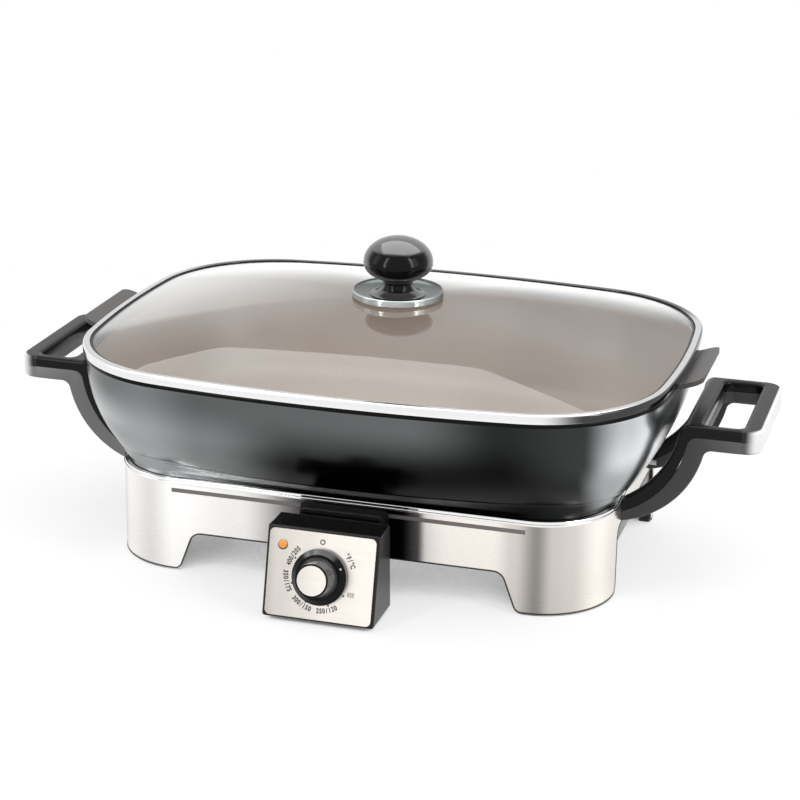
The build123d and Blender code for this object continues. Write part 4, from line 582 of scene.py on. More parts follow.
def faces_inwards(tree):
    """One where a surface looks towards the pan's upright axis and nought where it looks away.

    The sign is that of the dot product of the place, level and taken from the axis, and the normal.
    """
    place = add_node(tree, "ShaderNodeTexCoord").outputs["Object"]
    inputs = {0: place, 1: (1.0, 1.0, 0.0), 2: (0.0, -PAN_Y * MM, 0.0)}
    from_axis = add_node(tree, "ShaderNodeVectorMath", inputs, operation="MULTIPLY_ADD").outputs["Vector"]
    normal = add_node(tree, "ShaderNodeNewGeometry").outputs["Normal"]
    product = add_node(tree, "ShaderNodeVectorMath", {0: from_axis, 1: normal}, operation="DOT_PRODUCT")
    return rise(tree, product.outputs["Value"], 0.01, -0.01)

looks = {row[0]: finish_material(*row) for row in FINISHES}
looks["amber_lens"] = lens_material()
looks["lid_glass"] = glass_material("lid_glass", 0.03, 0.75)
looks["lamp_glass"] = glass_material("lamp_glass", 0.1)

# Painted reflections on the apron: bands of light and dark across its front, darkest where it mirrors the
# control, and an even grey at its rear
tree, at = opened("brushed_apron")
front = mixed(tree, rise(tree, at.y, -0.06, 0.02), tones(tree, at.x, APRON_REFLECTIONS), APRON_REAR_REFLECTION)
# Painted shade on the apron's inside
shade(tree, mixed(tree, faces_inwards(tree), front, APRON_INSIDE_SHADE))
# Painted warm reflection: the apron's right half is tinted warmer
shade(tree, mixed(tree, rise(tree, at.x, 0.0, 0.08), 1.0, APRON_WARM_REFLECTION))

# Painted reflection on the lid's band: darker on its top flange, nearly black where it turns to the right and
# to the back
tree, at = opened("lid_band_metal")
turned_away = larger(tree, rise(tree, at.out_x, 0.25, 0.55), rise(tree, at.y, 0.1, 0.135))
flange = mixed(tree, rise(tree, at.out_z, 0.75, 0.97), 1.0, BAND_FLANGE_REFLECTION)
shade(tree, mixed(tree, turned_away, flange, BAND_AWAY_REFLECTION))

# The end band: a painted white reflection where it faces sideways; elsewhere the cap's own black above the
# split and, below it, the lower layer's painted light and shade
tree, at = opened("handle_end_metal")
sideways = calculated(tree, "ABSOLUTE", at.out_x)
two_layers = mixed(tree, rise(tree, at.z, 0.1116, 0.1119), tones(tree, at.x, LAYER_LIGHT_AND_SHADE), CAP_BAND)
shade(tree, mixed(tree, rise(tree, sideways, 0.05, 0.7), two_layers, 1.0))

# Painted light and shade on the handles' lower layer: the left handle lit, the right one in shade, each outer
# end a little lighter
tree, at = opened("handle_matte")
shade(tree, tones(tree, at.x, MATTE_LIGHT_AND_SHADE))

# Painted grey reflection where the knob faces up and where it is seen edge on, with the specular raised
# there; elsewhere the knob keeps its own near black
tree, at = opened("knob_gloss")
edge_on = add_node(tree, "ShaderNodeLayerWeight", {"Blend": 0.5}).outputs["Facing"]
reflecting = larger(tree, rise(tree, at.out_z, 0.6, 0.74), rise(tree, edge_on, 0.35, 0.62))
shade(tree, mixed(tree, reflecting, KNOB_DARK, KNOB_REFLECTION))
gloss = rise(tree, reflecting, 0.0, 1.0, 0.15, 1.0)
feed(tree, tree.nodes["Principled BSDF"], {"Specular IOR Level": gloss})

# Painted light and shade on the face plate: darker to the left, brighter to the right
tree, at = opened("face_metal")
shade(tree, tones(tree, at.x, FACE_LIGHT_AND_SHADE))

# Painted reflection on the collar's ring: darker where it turns to the rear
tree, at = opened("collar_ring_steel")
shade(tree, mixed(tree, rise(tree, at.out_y, -0.6, 0.1), 1.0, RING_REAR_REFLECTION))

# Painted reflections and shade on the pan's outside: tones over x at three heights, bright at the corners,
# dark in the middle and darkest low on the wall; the lip above the wall is made near black
tree, at = opened("pan_outside")
middle_tones, high_tones = tones(tree, at.x, PAN_MIDDLE_LIGHT_AND_SHADE), tones(tree, at.x, PAN_HIGH_LIGHT_AND_SHADE)
upper_half = mixed(tree, rise(tree, at.z, 0.103, 0.134), middle_tones, high_tones)
whole_wall = mixed(tree, rise(tree, at.z, 0.092, 0.113), tones(tree, at.x, PAN_LOW_LIGHT_AND_SHADE), upper_half)
shade(tree, mixed(tree, rise(tree, at.z, 0.1391, 0.1396), whole_wall, PAN_LIP))

# Slots of the frame whose look has another name
SLOT_LOOKS = {
    "guard_steel": "socket_steel",
    "pan_coated": "pan_ear_coat",
    "probe_steel": "screw_steel",
    "gland_rubber": "foot_rubber",
}
NODE_LOOKS = {"knob_collar_ring": "collar_ring_steel"}
for row in frame["record"]["subparts"]:
    slot = row["material_slot"]
    look = NODE_LOOKS.get(row["node"], SLOT_LOOKS.get(slot, slot))
    mesh = nodes[row["node"]].data
    mesh.materials.clear()
    mesh.materials.append(looks[look])

# Pan
def wall_shape(height):
    """Outline of the pan's wall at a height: it leans in by a power of the depth below the lip."""
    depth = np.clip((PAN_TOP - height) / (PAN_TOP - CREASE_Z), 0, 1)
    return blend(WALL, CREASE, depth**WALL_POWER)

def pan_rings():
    """Rings of the casting from the middle of its underside, up the outside, over the lip and
    down the inside to the middle of the floor. Returns the rings and the first inside one.

    The foot's edge is a quarter circle, the wall's foot a straight lean out to the crease, and
    the inside's knee a curve of the second degree from the wall through a corner to the floor.
    """
    rings = [level(outline(FOOT, 0.0, share), PAN_BOTTOM) for share in (0.02, 0.3, 0.6, 0.85)]
    for t in np.linspace(0, math.pi / 2, 4):
        inset, height = FOOT_ROUND * (1 - math.sin(t)), PAN_BOTTOM + FOOT_ROUND * (1 - math.cos(t))
        rings.append(level(outline(FOOT, inset), height))
    rings += [level(outline(FOOT), height) for height in FOOT_STRAIGHT]
    for share in (0.02, 0.25, 0.5, 0.75, 0.93):
        rings.append(level(outline(blend(FOOT, CREASE, share)), FOOT_TOP + (CREASE_Z - FOOT_TOP) * share))
    rings.append(level(outline(CREASE, -0.05), CREASE_Z - 0.35))
    rings.append(level(outline(CREASE, -0.2), CREASE_Z + 0.2))
    for height in np.linspace(CREASE_Z + 0.9, WALL_TOP - 0.7, WALL_RINGS):
        rings.append(level(outline(wall_shape(height)), height))
    rings.append(level(outline(wall_shape(WALL_TOP - 0.15), -0.15), WALL_TOP - 0.15))
    rings += [level(outline(LID, inset), height) for inset, height in LIP]
    inside = len(rings) - LIP_RINGS_INSIDE
    for height in np.linspace(INSIDE_TOP, CREASE_Z, INSIDE_RINGS):
        rings.append(level(outline(wall_shape(height), WALL_SKIN), height))
    start, bend, end = np.array((WALL_SKIN, CREASE_Z)), np.array(FLOOR_KNEE), np.array(FLOOR_START)
    for t in np.linspace(0, 1, FLOOR_RINGS)[1:]:
        inset, height = (1 - t) ** 2 * start + 2 * t * (1 - t) * bend + t**2 * end
        rings.append(level(outline(CREASE, inset), height))
    floor_inset, floor_z = FLOOR_START
    rings += [level(outline(CREASE, floor_inset, share), floor_z) for share in (0.98, 0.8, 0.55, 0.3, 0.02)]
    return rings, inside

rings, inside = pan_rings()
points, faces = tube(rings)
pan_shell = make("pan_shell", points, faces, "pan", "pan_outside")
paint_rings(pan_shell, faces, len(rings[0]), inside, len(rings), "pan_inside")
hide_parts("pan")

# Lid: the band is its profile carried round the outline
profile = rounded(BAND, BAND_ROUND)
points, faces = tube([level(outline(LID, inset), height) for inset, height in profile], closed=True)
lid_band = make("lid_band", points, faces, "lid", "lid_band_metal", smooth=50)
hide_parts("lid_rim")

def dome_rings(border, lift, shares):
    """Rings of the dome: outlines that shrink to a share of themselves as a parabola rises.

    The last rings turn into circles at the crown, down to the hole for the knob's screw.
    """
    half_x, half_y, bow_x, bow_y, corner = LID
    shape = (half_x - border, half_y - border, bow_x, bow_y, corner - border)
    found = []
    for share in shares:
        height = GLASS_SHOULDER + lift + GLASS_RISE * (1 - share**2) / (1 - CROWN_SHARE**2)
        found.append(level(outline(shape, 0.0, share), height))
    crown = GLASS_SHOULDER + lift + GLASS_RISE
    last = found[-1][:, :2]
    unit = last / np.linalg.norm(last, axis=1, keepdims=True)
    for share in CROWN_SHARES:
        found.append(level(last * share + unit * HOLE_RADIUS * (1 - share), crown))
    return found

shares = np.concatenate(((1.0, SEAL_SHARE), 1 - (1 - CROWN_SHARE) * np.linspace(0, 1, DOME_RINGS)[1:]))
upper = dome_rings(GLASS_BORDER, 0.0, shares)
lower = dome_rings(GLASS_BORDER + GLASS_SKIN, -GLASS_SKIN, shares)
edge = [level(outline(LID, inset), height) for inset, height in GLASS_EDGE]
points, faces = tube(lower[::-1] + edge + upper, closed=True)
glass_dome = make("glass_dome", points, faces, "lid", "lid_glass", smooth=35)
seal_ring = len(lower) + len(edge)
paint_rings(glass_dome, faces, len(upper[0]), seal_ring - 1, seal_ring + 1, "gasket_rubber")
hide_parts("lid_glass")

# Handles: two moulded layers and a bright end band on each side
def arm_edge(foot, flat, reach, bow, bend):
    """One edge of a handle layer over x: its height, its slope factor and its bend's stations.

    An arc rises from the foot, bowed outwards by its sagitta, and meets the level run in a
    bend of the given radius that touches both.
    """
    start, end = np.array((END_X, foot)), np.array((APRON_END + reach, flat))
    chord = end - start
    half = np.hypot(*chord) / 2
    radius = (half**2 + bow**2) / (2 * bow)
    unit = chord / (2 * half)
    centre = (start + end) / 2 + np.array((-unit[1], unit[0])) * (radius - bow)
    bend_z = flat - bend
    bend_x = centre[0] + math.sqrt((radius + bend) ** 2 - (bend_z - centre[1]) ** 2)
    touch = centre + (np.array((bend_x, bend_z)) - centre) * radius / (radius + bend)

    def height(x):
        x = np.asarray(x, float)
        arc = centre[1] - np.sqrt(np.maximum(radius**2 - (x - centre[0]) ** 2, 0))
        turn = bend_z + np.sqrt(np.maximum(bend**2 - np.minimum(x - bend_x, 0) ** 2, 0))
        return np.where(x < touch[0], arc, np.where(x < bend_x, turn, flat))

    def steepness(x):
        run = 0.01
        slope = (height(x + run) - height(x - run)) / (2 * run)
        return np.sqrt(1 + np.minimum(slope**2, 40.0))

    first = math.atan2(start[1] - centre[1], start[0] - centre[0])
    last = math.atan2(touch[1] - centre[1], touch[0] - centre[0])
    on_arc = centre[0] + radius * np.cos(np.linspace(first, last, 22))
    turns = np.linspace(math.atan2(touch[1] - bend_z, touch[0] - bend_x), math.pi / 2, 8)
    return height, steepness, np.concatenate((on_arc, bend_x + bend * np.cos(turns)))

def to_round_box(x, y, half_x, half_y, corner):
    """Signed distance to a rectangle with round corners about the origin, negative inside."""
    qx, qy = np.abs(x) - (half_x - corner), np.abs(y) - (half_y - corner)
    return np.hypot(np.maximum(qx, 0), np.maximum(qy, 0)) + np.minimum(np.maximum(qx, qy), 0) - corner

def depth_by_hole(x, y):
    """Distance of a plan point from the finger hole."""
    middle, half = (HOLE_X0 + HOLE_X1) / 2, (HOLE_X1 - HOLE_X0) / 2
    return np.maximum(to_round_box(x - middle, y, half, HANDLE_BAR_IN, HOLE_CORNER), 0)

def depth_in_loop(x, y):
    """How deep a plan point lies inside the handle's outline: from its outside, the finger
    hole and the gap between the arms, whichever is nearest."""
    outside = -to_round_box(x, y, HANDLE_OUT, HANDLE_HALF, HANDLE_CORNER)
    hole = depth_by_hole(x, y)
    gap = np.hypot(np.maximum(x - LOOP_X, 0), np.maximum(np.abs(y) - HANDLE_BAR_IN, 0))
    return np.maximum(np.minimum(np.minimum(outside, hole), gap), 0)

def roll(depth, radius):
    """Drop of a rounded edge: radius less the quarter circle's height at this depth."""
    inside = np.clip(radius - depth, 0, radius)
    return radius - np.sqrt(radius**2 - inside**2)

def plate(plan, quads, low, high):
    """Closed body over a plan mesh: its quads at two heights, and walls along every edge that
    only one quad uses."""
    a, b, c = plan[quads[:, 0]], plan[quads[:, 1]], plan[quads[:, 2]]
    ab, ac = b - a, c - a
    if (ab[:, 0] * ac[:, 1] - ab[:, 1] * ac[:, 0]).sum() < 0:
        quads = quads[:, ::-1]
    count = len(plan)
    points = np.concatenate((np.column_stack((plan, low)), np.column_stack((plan, high))))
    ends = np.concatenate([quads[:, (k, (k + 1) % 4)] for k in range(4)])
    _, where, times = np.unique(np.sort(ends, axis=1), axis=0, return_inverse=True, return_counts=True)
    rim = ends[times[where.reshape(-1)] == 1]
    walls = np.stack((rim[:, 0], rim[:, 1], rim[:, 1] + count, rim[:, 0] + count), 1)
    return points, np.concatenate((quads + count, quads[:, ::-1], walls))

def strip_plan(outer, inner, offsets=EDGE_OFFSETS):
    """Plan mesh between two lines of matching points, with fine rows along both edges."""
    width = np.linalg.norm(inner - outer, axis=1)[:, None]
    near = np.minimum(offsets[None] / width, 0.45)
    share = np.concatenate((near, np.full_like(width, 0.5), 1 - near[:, ::-1]), 1)
    plan = outer[:, None] + (inner - outer)[:, None] * share[..., None]
    return plan.reshape(-1, 2), grid_faces(len(outer), share.shape[1], wrap_columns=False)

def side_line(stations, y):
    """Plan points (n, 2) at the stations along x, all at one y."""
    return np.column_stack((stations, np.full(len(stations), y)))

def round_the_end(end_x, half, corner, start_x):
    """Half of a line round the loop's end: from its side at start_x straight to a quarter
    turn, round it and across to the middle. The other half is its mirror."""
    circle = np.linspace(0, math.pi / 2, 13)
    middle = np.array((end_x - corner, half - corner))
    lead = side_line(np.linspace(start_x, middle[0], 5)[:-1], half)
    turn = middle + corner * np.stack((np.sin(circle), np.cos(circle)), 1)
    run = np.column_stack((np.full(8, end_x), np.linspace(half - corner, 0, 9)[1:]))
    return np.concatenate((lead, turn, run))

def mirrored(line):
    """A line that ends on the middle, followed by its own mirror image back to the start."""
    return np.concatenate((line, line[-2::-1] * (1, -1)))

def on_side(points, faces, side):
    """The points and faces as they are for the right handle, mirrored for the left one."""
    return (points, faces) if side > 0 else (points * (-1, 1, 1), faces[:, ::-1])

def loop_plan(low_x, high_x):
    """Plan mesh of the two arms and the loop's outer end: a strip between two lines.

    Past BAND_X its outside stands back by the end band's wall.
    """
    x = np.unique(np.concatenate((low_x, high_x, (END_X, LOOP_X, HOLE_X0), np.linspace(BAR_X, ARM_X, 6))))
    x = x[(x >= END_X) & (x <= ARM_X)]
    x = x[np.concatenate(((True,), np.diff(x) > 0.05))]
    step_out = ((STEP_X, HANDLE_HALF), (BAND_X - 0.06, HANDLE_HALF), (BAND_X - 0.03, HANDLE_HALF - 0.1))
    step_in = side_line((ARM_X + 0.5, ARM_X + 1.0, ARM_X + 1.5), HANDLE_BAR_IN)
    wall = BAND_WALL
    end_out = round_the_end(HANDLE_OUT - wall, HANDLE_HALF - wall, HANDLE_CORNER - wall, BAND_X)
    end_in = round_the_end(HOLE_X1, HANDLE_BAR_IN, HOLE_CORNER, ARM_X + 2.0)
    outer = mirrored(np.concatenate((side_line(x, HANDLE_HALF), np.array(step_out), end_out)))
    inner = mirrored(np.concatenate((side_line(x, HANDLE_BAR_IN), step_in, end_in)))
    return strip_plan(outer, inner)

def bar_plan(left):
    """Plan mesh of the inner bar, whose right side runs into the finger hole's round corners."""
    past = HOLE_CORNER * np.sin(np.linspace(0, math.pi / 2, 9))
    straight = HANDLE_BAR_IN - HOLE_CORNER
    y = np.concatenate((np.linspace(0, straight, 8)[:-1], straight + past))
    y = np.concatenate((-y[:0:-1], y))
    past = np.maximum(np.abs(y) - straight, 0)
    right = HOLE_X0 + HOLE_CORNER - np.sqrt(np.maximum(HOLE_CORNER**2 - past**2, 0))
    near = EDGE_OFFSETS / (HOLE_X0 - left)
    share = np.concatenate((near, np.linspace(near[-1], 1 - near[-1], 16)[1:-1], 1 - near[::-1]))
    across = left + (right - left)[:, None] * share
    plan = np.stack((across, np.broadcast_to(y[:, None], across.shape)), -1).reshape(-1, 2)
    return plan, grid_faces(len(y), len(share), wrap_columns=False)

def handle_layer(low_edge, high_edge, low_round, high_round, bar_floor):
    """One moulded layer: two arms that curve up into a loop, and the loop's inner bar.

    Its edges roll off with the depth in the outline, times the slope factor of the surface.
    Where the bar has a floor, it begins where the layer's top comes over that floor.
    """
    low, low_steep, low_x = low_edge
    high, high_steep, high_x = high_edge
    plan, quads = loop_plan(low_x, high_x)
    x, y = plan.T
    deep = np.where(x > BAND_X - 0.01, depth_by_hole(x, y), depth_in_loop(x, y))
    bottom = low(x) + roll(deep, low_round) * low_steep(x)
    points, faces = plate(plan, quads, bottom, high(x) - roll(deep, high_round) * high_steep(x))
    left = LOOP_X
    if bar_floor is not None:
        samples = np.linspace(LOOP_X, HOLE_X0, 1400)
        left = samples[np.argmax(high(samples) > bar_floor + 0.1)]
    plan, quads = bar_plan(left)
    x, y = plan.T
    deep = depth_in_loop(x, y)
    floor_z = low(x) if bar_floor is None else np.maximum(low(x), bar_floor)
    steep = low_steep(x) if bar_floor is None else 1.0
    top = high(x) - roll(deep, high_round) * high_steep(x)
    bottom = np.minimum(floor_z + roll(deep, low_round) * steep, top - 0.02)
    more_points, more_faces = plate(plan, quads, bottom, top)
    return np.concatenate((points, more_points)), np.concatenate((faces, more_faces + len(points)))

def end_band():
    """The bright band round the loop's outer end, rounded along its top and bottom."""
    outer = mirrored(round_the_end(HANDLE_OUT, HANDLE_HALF, HANDLE_CORNER, BAND_X))
    wall = BAND_WALL - BAND_GAP
    inner = mirrored(round_the_end(HANDLE_OUT - wall, HANDLE_HALF - wall, HANDLE_CORNER - wall, BAND_X))
    plan, quads = strip_plan(outer, inner, BAND_OFFSETS)
    x, y = plan.T
    drop = roll(np.maximum(-to_round_box(x, y, HANDLE_OUT, HANDLE_HALF, HANDLE_CORNER), 0), TOP_ROUND)
    return plate(plan, quads, HANDLE_BOTTOM + drop, HANDLE_TOP - drop)

lower_edge = arm_edge(47.6, HANDLE_BOTTOM, 52.6, 12.0, 6.0)
split_edge = arm_edge(54.7, HANDLE_SPLIT, 41.7, 10.0, 7.0)
cap_edge = arm_edge(54.9, HANDLE_SPLIT + SPLIT_GAP, 41.5, 10.0, 7.0)
upper_edge = arm_edge(64.1, HANDLE_TOP, 36.5, 8.1, 7.0)
lower_layer = handle_layer(lower_edge, split_edge, BOTTOM_ROUND, SPLIT_ROUND, HANDLE_BOTTOM)
upper_layer = handle_layer(cap_edge, upper_edge, SPLIT_ROUND, TOP_ROUND, None)
# Piece, the node that it replaces, its shape, slot and look
HANDLE_PIECES = (
    ("lower", "body", lower_layer, "handle_matte", "handle_matte"),
    ("upper", "cap", upper_layer, "handle_gloss", "handle_gloss"),
    ("band", "accent", end_band(), "bright_trim", "handle_end_metal"),
)
for side, word in ((1, "right"), (-1, "left")):
    for piece, node, shape, slot, look in HANDLE_PIECES:
        points, faces = on_side(*shape, side)
        handle_piece = make(f"handle_{word}_{piece}", points, faces, "base", look)
        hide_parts(f"handle_{word}_{node}")

# Marks on the control's face
def on_face(across, up, out):
    """Points on the control's face, from distances across, up and out from its middle."""
    across, up, out = np.broadcast_arrays(across, up, out)
    return FACE_MID + across[..., None] * (1, 0, 0) + up[..., None] * FACE_UP + out[..., None] * FACE_OUT

def face_mesh(name, flat, faces, look="scale_ink", body="control", out=0.0, depth=INK_DEPTH):
    """A thin printed shape: flat points (n, 2) on the face, raised by the ink's depth.

    Walls stand on each edge that no other face runs along the other way.
    """
    count = len(flat)
    low = on_face(flat[:, 0], flat[:, 1], out + INK_SUNK)
    high = on_face(flat[:, 0], flat[:, 1], out + depth)
    edges = dict.fromkeys(pair for face in faces for pair in zip(face, face[1:] + face[:1]))
    walls = [(a, b, b + count, a + count) for a, b in edges if (b, a) not in edges]
    solid = [tuple(p + count for p in face) for face in faces] + [tuple(face[::-1]) for face in faces] + walls
    points = np.concatenate((low, high))
    solid = outward(points - points.mean(0), solid)
    return make(name, points, solid, body, look, smooth=30, origin_y=0.0)

def letter_shape(letter):
    """A letter as flat points and faces, in units of the letter height."""
    curve = bpy.data.curves.new("letter", "FONT")
    curve.body = letter
    curve.align_x = "CENTER"
    curve.size = 1.0
    curve.offset = TEXT_BOLD
    holder = bpy.data.objects.new("letter", curve)
    bpy.context.scene.collection.objects.link(holder)
    mesh = bpy.data.meshes.new_from_object(holder.evaluated_get(bpy.context.evaluated_depsgraph_get()))
    flat = np.zeros(len(mesh.vertices) * 3)
    mesh.vertices.foreach_get("co", flat)
    cells = [tuple(polygon.vertices) for polygon in mesh.polygons]
    bpy.data.objects.remove(holder)
    bpy.data.curves.remove(curve)
    bpy.data.meshes.remove(mesh)
    return flat.reshape(-1, 3)[:, :2], cells

def around(turn, distance):
    """A place on the face, clockwise from straight up in degrees, at a distance from the dial."""
    return np.array((math.sin(math.radians(turn)), math.cos(math.radians(turn)))) * distance

def curved_label(name, text, turn, distance, tops_out):
    """A label whose letters follow a circle about the dial."""
    flat, faces, count = [], [], 0
    for place, letter in enumerate(text):
        shape, cells = letter_shape(letter)
        offset = math.degrees((place - (len(text) - 1) / 2) * TEXT_SIZE * TEXT_PITCH / distance)
        angle = turn + (offset if tops_out else -offset)
        spin = math.radians(-angle if tops_out else 180.0 - angle)
        local = shape * (TEXT_SIZE * TEXT_NARROW, TEXT_SIZE) - (0.0, TEXT_SIZE * TEXT_DROP)
        cosine, sine = math.cos(spin), math.sin(spin)
        spun = local @ np.array(((cosine, sine), (-sine, cosine)))
        flat.append(spun + around(angle, distance))
        faces += [tuple(p + count for p in face) for face in cells]
        count += len(shape)
    return face_mesh(name, np.concatenate(flat) + (0.0, SCALE_UP), faces)

def disc(centre, radius, steps, hole=0.0):
    """A flat disc or ring, as points and faces."""
    turns = np.linspace(0, 2 * math.pi, steps, endpoint=False)
    rim = np.stack((np.cos(turns), np.sin(turns)), 1)
    if not hole:
        return rim * radius + centre, [tuple(range(steps))]
    flat = np.concatenate((rim * radius, rim * hole)) + centre
    after = [(n + 1) % steps for n in range(steps)]
    return flat, [(n, after[n], after[n] + steps, n + steps) for n in range(steps)]

for name, text, turn, distance, tops_out in LABELS:
    curved_label(name, text, turn, distance, tops_out)
for number, turn in enumerate(DOT_TURNS):
    flat, cells = disc(around(turn, DOT_DISTANCE), DOT_RADIUS, 20)
    face_mesh(f"scale_dot_{number}", flat + (0.0, SCALE_UP), cells)
flat, cells = disc(around(0.0, OFF_DISTANCE), OFF_OUTSIDE, 36, OFF_INSIDE)
face_mesh("scale_off_ring", flat + (0.0, SCALE_UP), cells)

wave_up = np.linspace(-WAVE_HALF, WAVE_HALF, WAVE_STEPS)
wave_cells = [(n, n + WAVE_STEPS, n + WAVE_STEPS + 1, n + 1) for n in range(WAVE_STEPS - 1)]
for number, shift in enumerate(WAVE_SHIFTS):
    wave = np.stack((shift + WAVE_SWING * np.sin(wave_up * WAVE_SPEED), wave_up + SCALE_UP), 1)
    middle = around(WAVE_TURN, WAVE_DISTANCE) + wave
    strip = np.concatenate((middle - (WAVE_PEN, 0), middle + (WAVE_PEN, 0)))
    face_mesh(f"scale_wave_{number}", strip, wave_cells)

flat, cells = disc(around(POINTER_TURN, POINTER_DISTANCE), POINTER_RADIUS, 24)
face_mesh("dial_dot", flat, cells, "dial_dot", "dial", POINTER_OUT, POINTER_DEPTH)

lens_box = np.array([corner[:] for corner in nodes["indicator_lens"].bound_box])
lens_middle = lens_box.mean(0) / MM - FACE_MID
flat, cells = disc(np.array((lens_middle[0], lens_middle @ FACE_UP)), LENS_RIM_OUT, 40, LENS_RIM_IN)
face_mesh("lens_rim", flat, cells, "lens_rim", "control", LENS_RIM_SUNK, LENS_RIM_DEPTH)

# Dark strip of painted shade on the apron: along each arch, and round the foot of each leg
def on_apron(strip, flat_half, sign, long_side):
    """Strip points (along, height, out) as x, y and z on a side of the apron.

    Past the side's flat half length they bend round the corner arc. Sign -1 is the front or
    the left side and sign 1 the rear or the right one.
    """
    along, height, out = np.moveaxis(strip, -1, 0)
    turn = np.maximum(np.abs(along) - flat_half, 0) / APRON_CORNER
    radius = APRON_CORNER + out
    along = np.sign(along) * (np.minimum(np.abs(along), flat_half) + radius * np.sin(turn))
    out = radius * np.cos(turn) - APRON_CORNER
    if long_side:
        return np.stack((along, sign * (APRON_HALF_Y + out), height), -1)
    return np.stack((sign * (APRON_END + out), along, height), -1)

def arch_shade_line(word, foot_half, top_half, top, flat_half, sign, long_side):
    """A thin strip along an arch and round the feet beside it, half way round each corner.

    The line runs through the arch's corner points, rounded off. The strip lies on the metal's
    side of it.
    """
    reach = flat_half + APRON_CORNER * math.pi / 4
    foot = np.linspace(reach, foot_half + FOOT_LEAD, FOOT_STEPS)
    left = [(-along, FOOT_Z) for along in foot] + [(-foot_half, FOOT_Z), (-top_half, top)]
    corners = left + [(-along, height) for along, height in left[::-1]]
    straight = (0.0,) * FOOT_STEPS
    radii = straight + (FOOT_CORNER, ARCH_CORNER, ARCH_CORNER, FOOT_CORNER) + straight
    line = rounded(corners, radii, steps=8, closed=False)
    ahead = np.gradient(line, axis=0)
    ahead /= np.linalg.norm(ahead, axis=1, keepdims=True)
    far = line + np.stack((-ahead[:, 1], ahead[:, 0]), 1) * EDGE_WIDTH
    sides = ((line, EDGE_SUNK), (far, EDGE_SUNK), (far, EDGE_PROUD), (line, EDGE_PROUD))
    rings = np.stack([level(flat, out) for flat, out in sides], 1)
    points, faces = tube(on_apron(rings, flat_half, sign, long_side))
    make(f"arch_shade_line_{word}", points, faces, "base", "apron_edge")

for sign, word in ((-1, "front"), (1, "rear")):
    arch_shade_line(word, 117.0, 107.0, 28.0, APRON_END - APRON_CORNER, sign, True)
for sign, word in ((-1, "left"), (1, "right")):
    arch_shade_line(word, 64.5, 64.5, 46.0, APRON_HALF_Y - APRON_CORNER, sign, False)

# Dark strip let into the groove of the apron's front: its dark colour is painted shade along the groove
strip_box = np.array([(x, y, z) for x in GROOVE_X for y in GROOVE_Y for z in GROOVE_Z])
strip_faces = [(0, 1, 3, 2), (4, 6, 7, 5), (0, 4, 5, 1), (2, 3, 7, 6), (0, 2, 6, 4), (1, 5, 7, 3)]
strip_faces = outward(strip_box - strip_box.mean(0), strip_faces)
make("groove_strip", strip_box, strip_faces, "base", "groove_strip", smooth=30)

# Floor, world and lights
def white_where_seen(tree, shown, lighting):
    """Chooses one shader for camera, mirror and glass rays and another for light that bounces."""
    path = add_node(tree, "ShaderNodeLightPath").outputs
    seen = larger(tree, path["Is Camera Ray"], path["Is Glossy Ray"])
    seen = larger(tree, seen, path["Is Transmission Ray"])
    return mixed_shaders(tree, seen, lighting, shown)

def glow(tree, strength):
    """A white surface that shows as the given grey without any light."""
    return add_node(tree, "ShaderNodeEmission", {"Strength": strength}).outputs[0]

floor_material, tree, shader = new_material("studio_floor")
tree.nodes.remove(shader)
near = add_node(tree, "ShaderNodeBsdfDiffuse", {"Color": colour(FLOOR_NEAR)}).outputs[0]
lifted = add_node(tree, "ShaderNodeAddShader", {0: near, 1: glow(tree, FLOOR_LIFT)}).outputs[0]
# Painted shadow: where ambient occlusion finds the object close, the floor falls from its lifted glow to a
# dim glow, on top of the lamps' real shadows
shadow_occlusion = add_node(tree, "ShaderNodeAmbientOcclusion", {"Distance": 0.075}, samples=12).outputs["AO"]
shaded = mixed_shaders(tree, rise(tree, shadow_occlusion, 0.02, 0.3), glow(tree, FLOOR_SHADOW_GLOW), lifted)
place = add_node(tree, "ShaderNodeTexCoord").outputs["Object"]
distance = add_node(tree, "ShaderNodeVectorMath", {0: place}, operation="LENGTH").outputs["Value"]
seen = mixed_shaders(tree, rise(tree, distance, 0.3, 0.6), shaded, glow(tree, 1.0))
bounce = add_node(tree, "ShaderNodeBsdfDiffuse", {"Color": colour(FLOOR_BOUNCE)}).outputs[0]
feed(tree, tree.nodes["Material Output"], {"Surface": white_where_seen(tree, seen, bounce)})

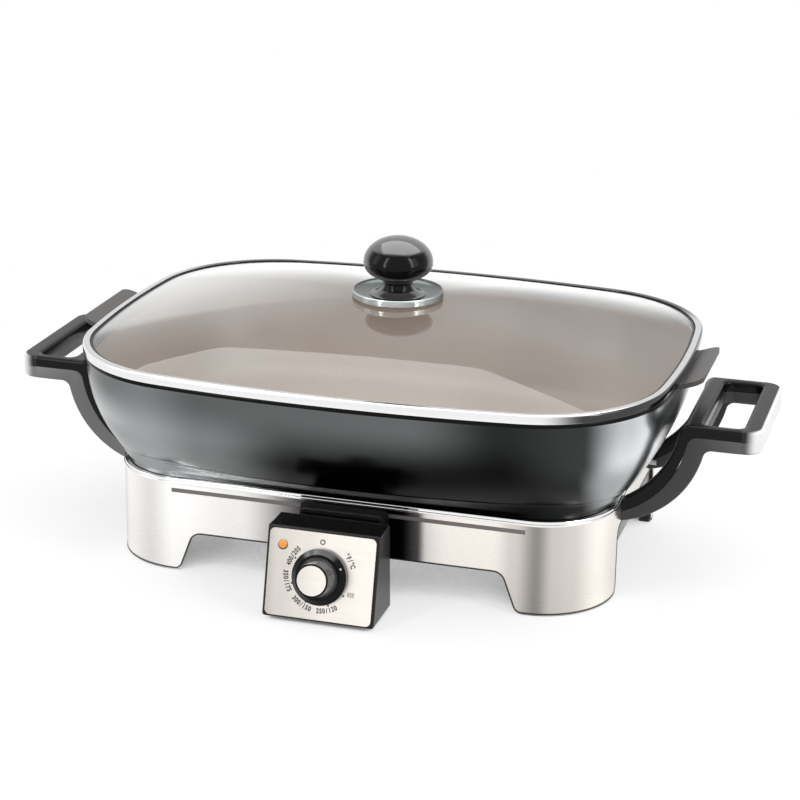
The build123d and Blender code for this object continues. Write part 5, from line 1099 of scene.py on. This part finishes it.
floor_corners = [(x * FLOOR_HALF, y * FLOOR_HALF, 0) for x, y in ((-1, -1), (1, -1), (1, 1), (-1, 1))]
floor_mesh = bpy.data.meshes.new("studio_floor")
floor_mesh.from_pydata(floor_corners, [], [(0, 1, 2, 3)])
floor_mesh.materials.append(floor_material)
floor = bpy.data.objects.new("studio_floor", floor_mesh)
bpy.context.scene.collection.objects.link(floor)

world = bpy.data.worlds.new("studio")
bpy.context.scene.world = world
world.use_nodes = True
tree = world.node_tree
shown = feed(tree, tree.nodes["Background"], {"Color": colour(1.0), "Strength": 1.0}).outputs[0]
dim = add_node(tree, "ShaderNodeBackground", {"Color": colour(1.0), "Strength": WORLD_DIM}).outputs[0]
feed(tree, tree.nodes["World Output"], {"Surface": white_where_seen(tree, shown, dim)})

def soft_box(name, place, target, width, height, radiance):
    """A rectangular soft box that looks at a target, with the given radiance over its face."""
    light = bpy.data.lights.new(name, "AREA")
    light.shape = "RECTANGLE"
    light.size = width
    light.size_y = height
    light.energy = radiance * math.pi * width * height
    lamp = bpy.data.objects.new(name, light)
    bpy.context.scene.collection.objects.link(lamp)
    lamp.location = place
    lamp.rotation_euler = (Vector(target) - Vector(place)).to_track_quat("-Z", "Y").to_euler()

for light in LIGHTS:
    soft_box(*light)

# Camera
back = np.array((
    math.sin(AZIMUTH) * math.cos(ELEVATION), -math.cos(AZIMUTH) * math.cos(ELEVATION), math.sin(ELEVATION)
))
right = np.cross(-back, (0, 0, 1))
right /= np.linalg.norm(right)
above = np.cross(right, -back)
turned_right = math.cos(ROLL) * right + math.sin(ROLL) * above
turned_up = -math.sin(ROLL) * right + math.cos(ROLL) * above
lens = bpy.data.cameras.new("camera")
lens.sensor_width = SENSOR
lens.lens = FOCAL_PIXELS * SENSOR / PICTURE
lens.clip_start = 0.05
lens.clip_end = 50.0
camera = bpy.data.objects.new("camera", lens)
bpy.context.scene.collection.objects.link(camera)
turn = Matrix(np.column_stack((turned_right, turned_up, back)).tolist()).to_4x4()
spot = (TARGET + back * DISTANCE + (0.0, PAN_Y, 0.0)) * MM
camera.matrix_world = Matrix.Translation(Vector(spot.tolist())) @ turn
bpy.context.scene.camera = camera
bpy.context.scene.view_settings.view_transform = "Standard"
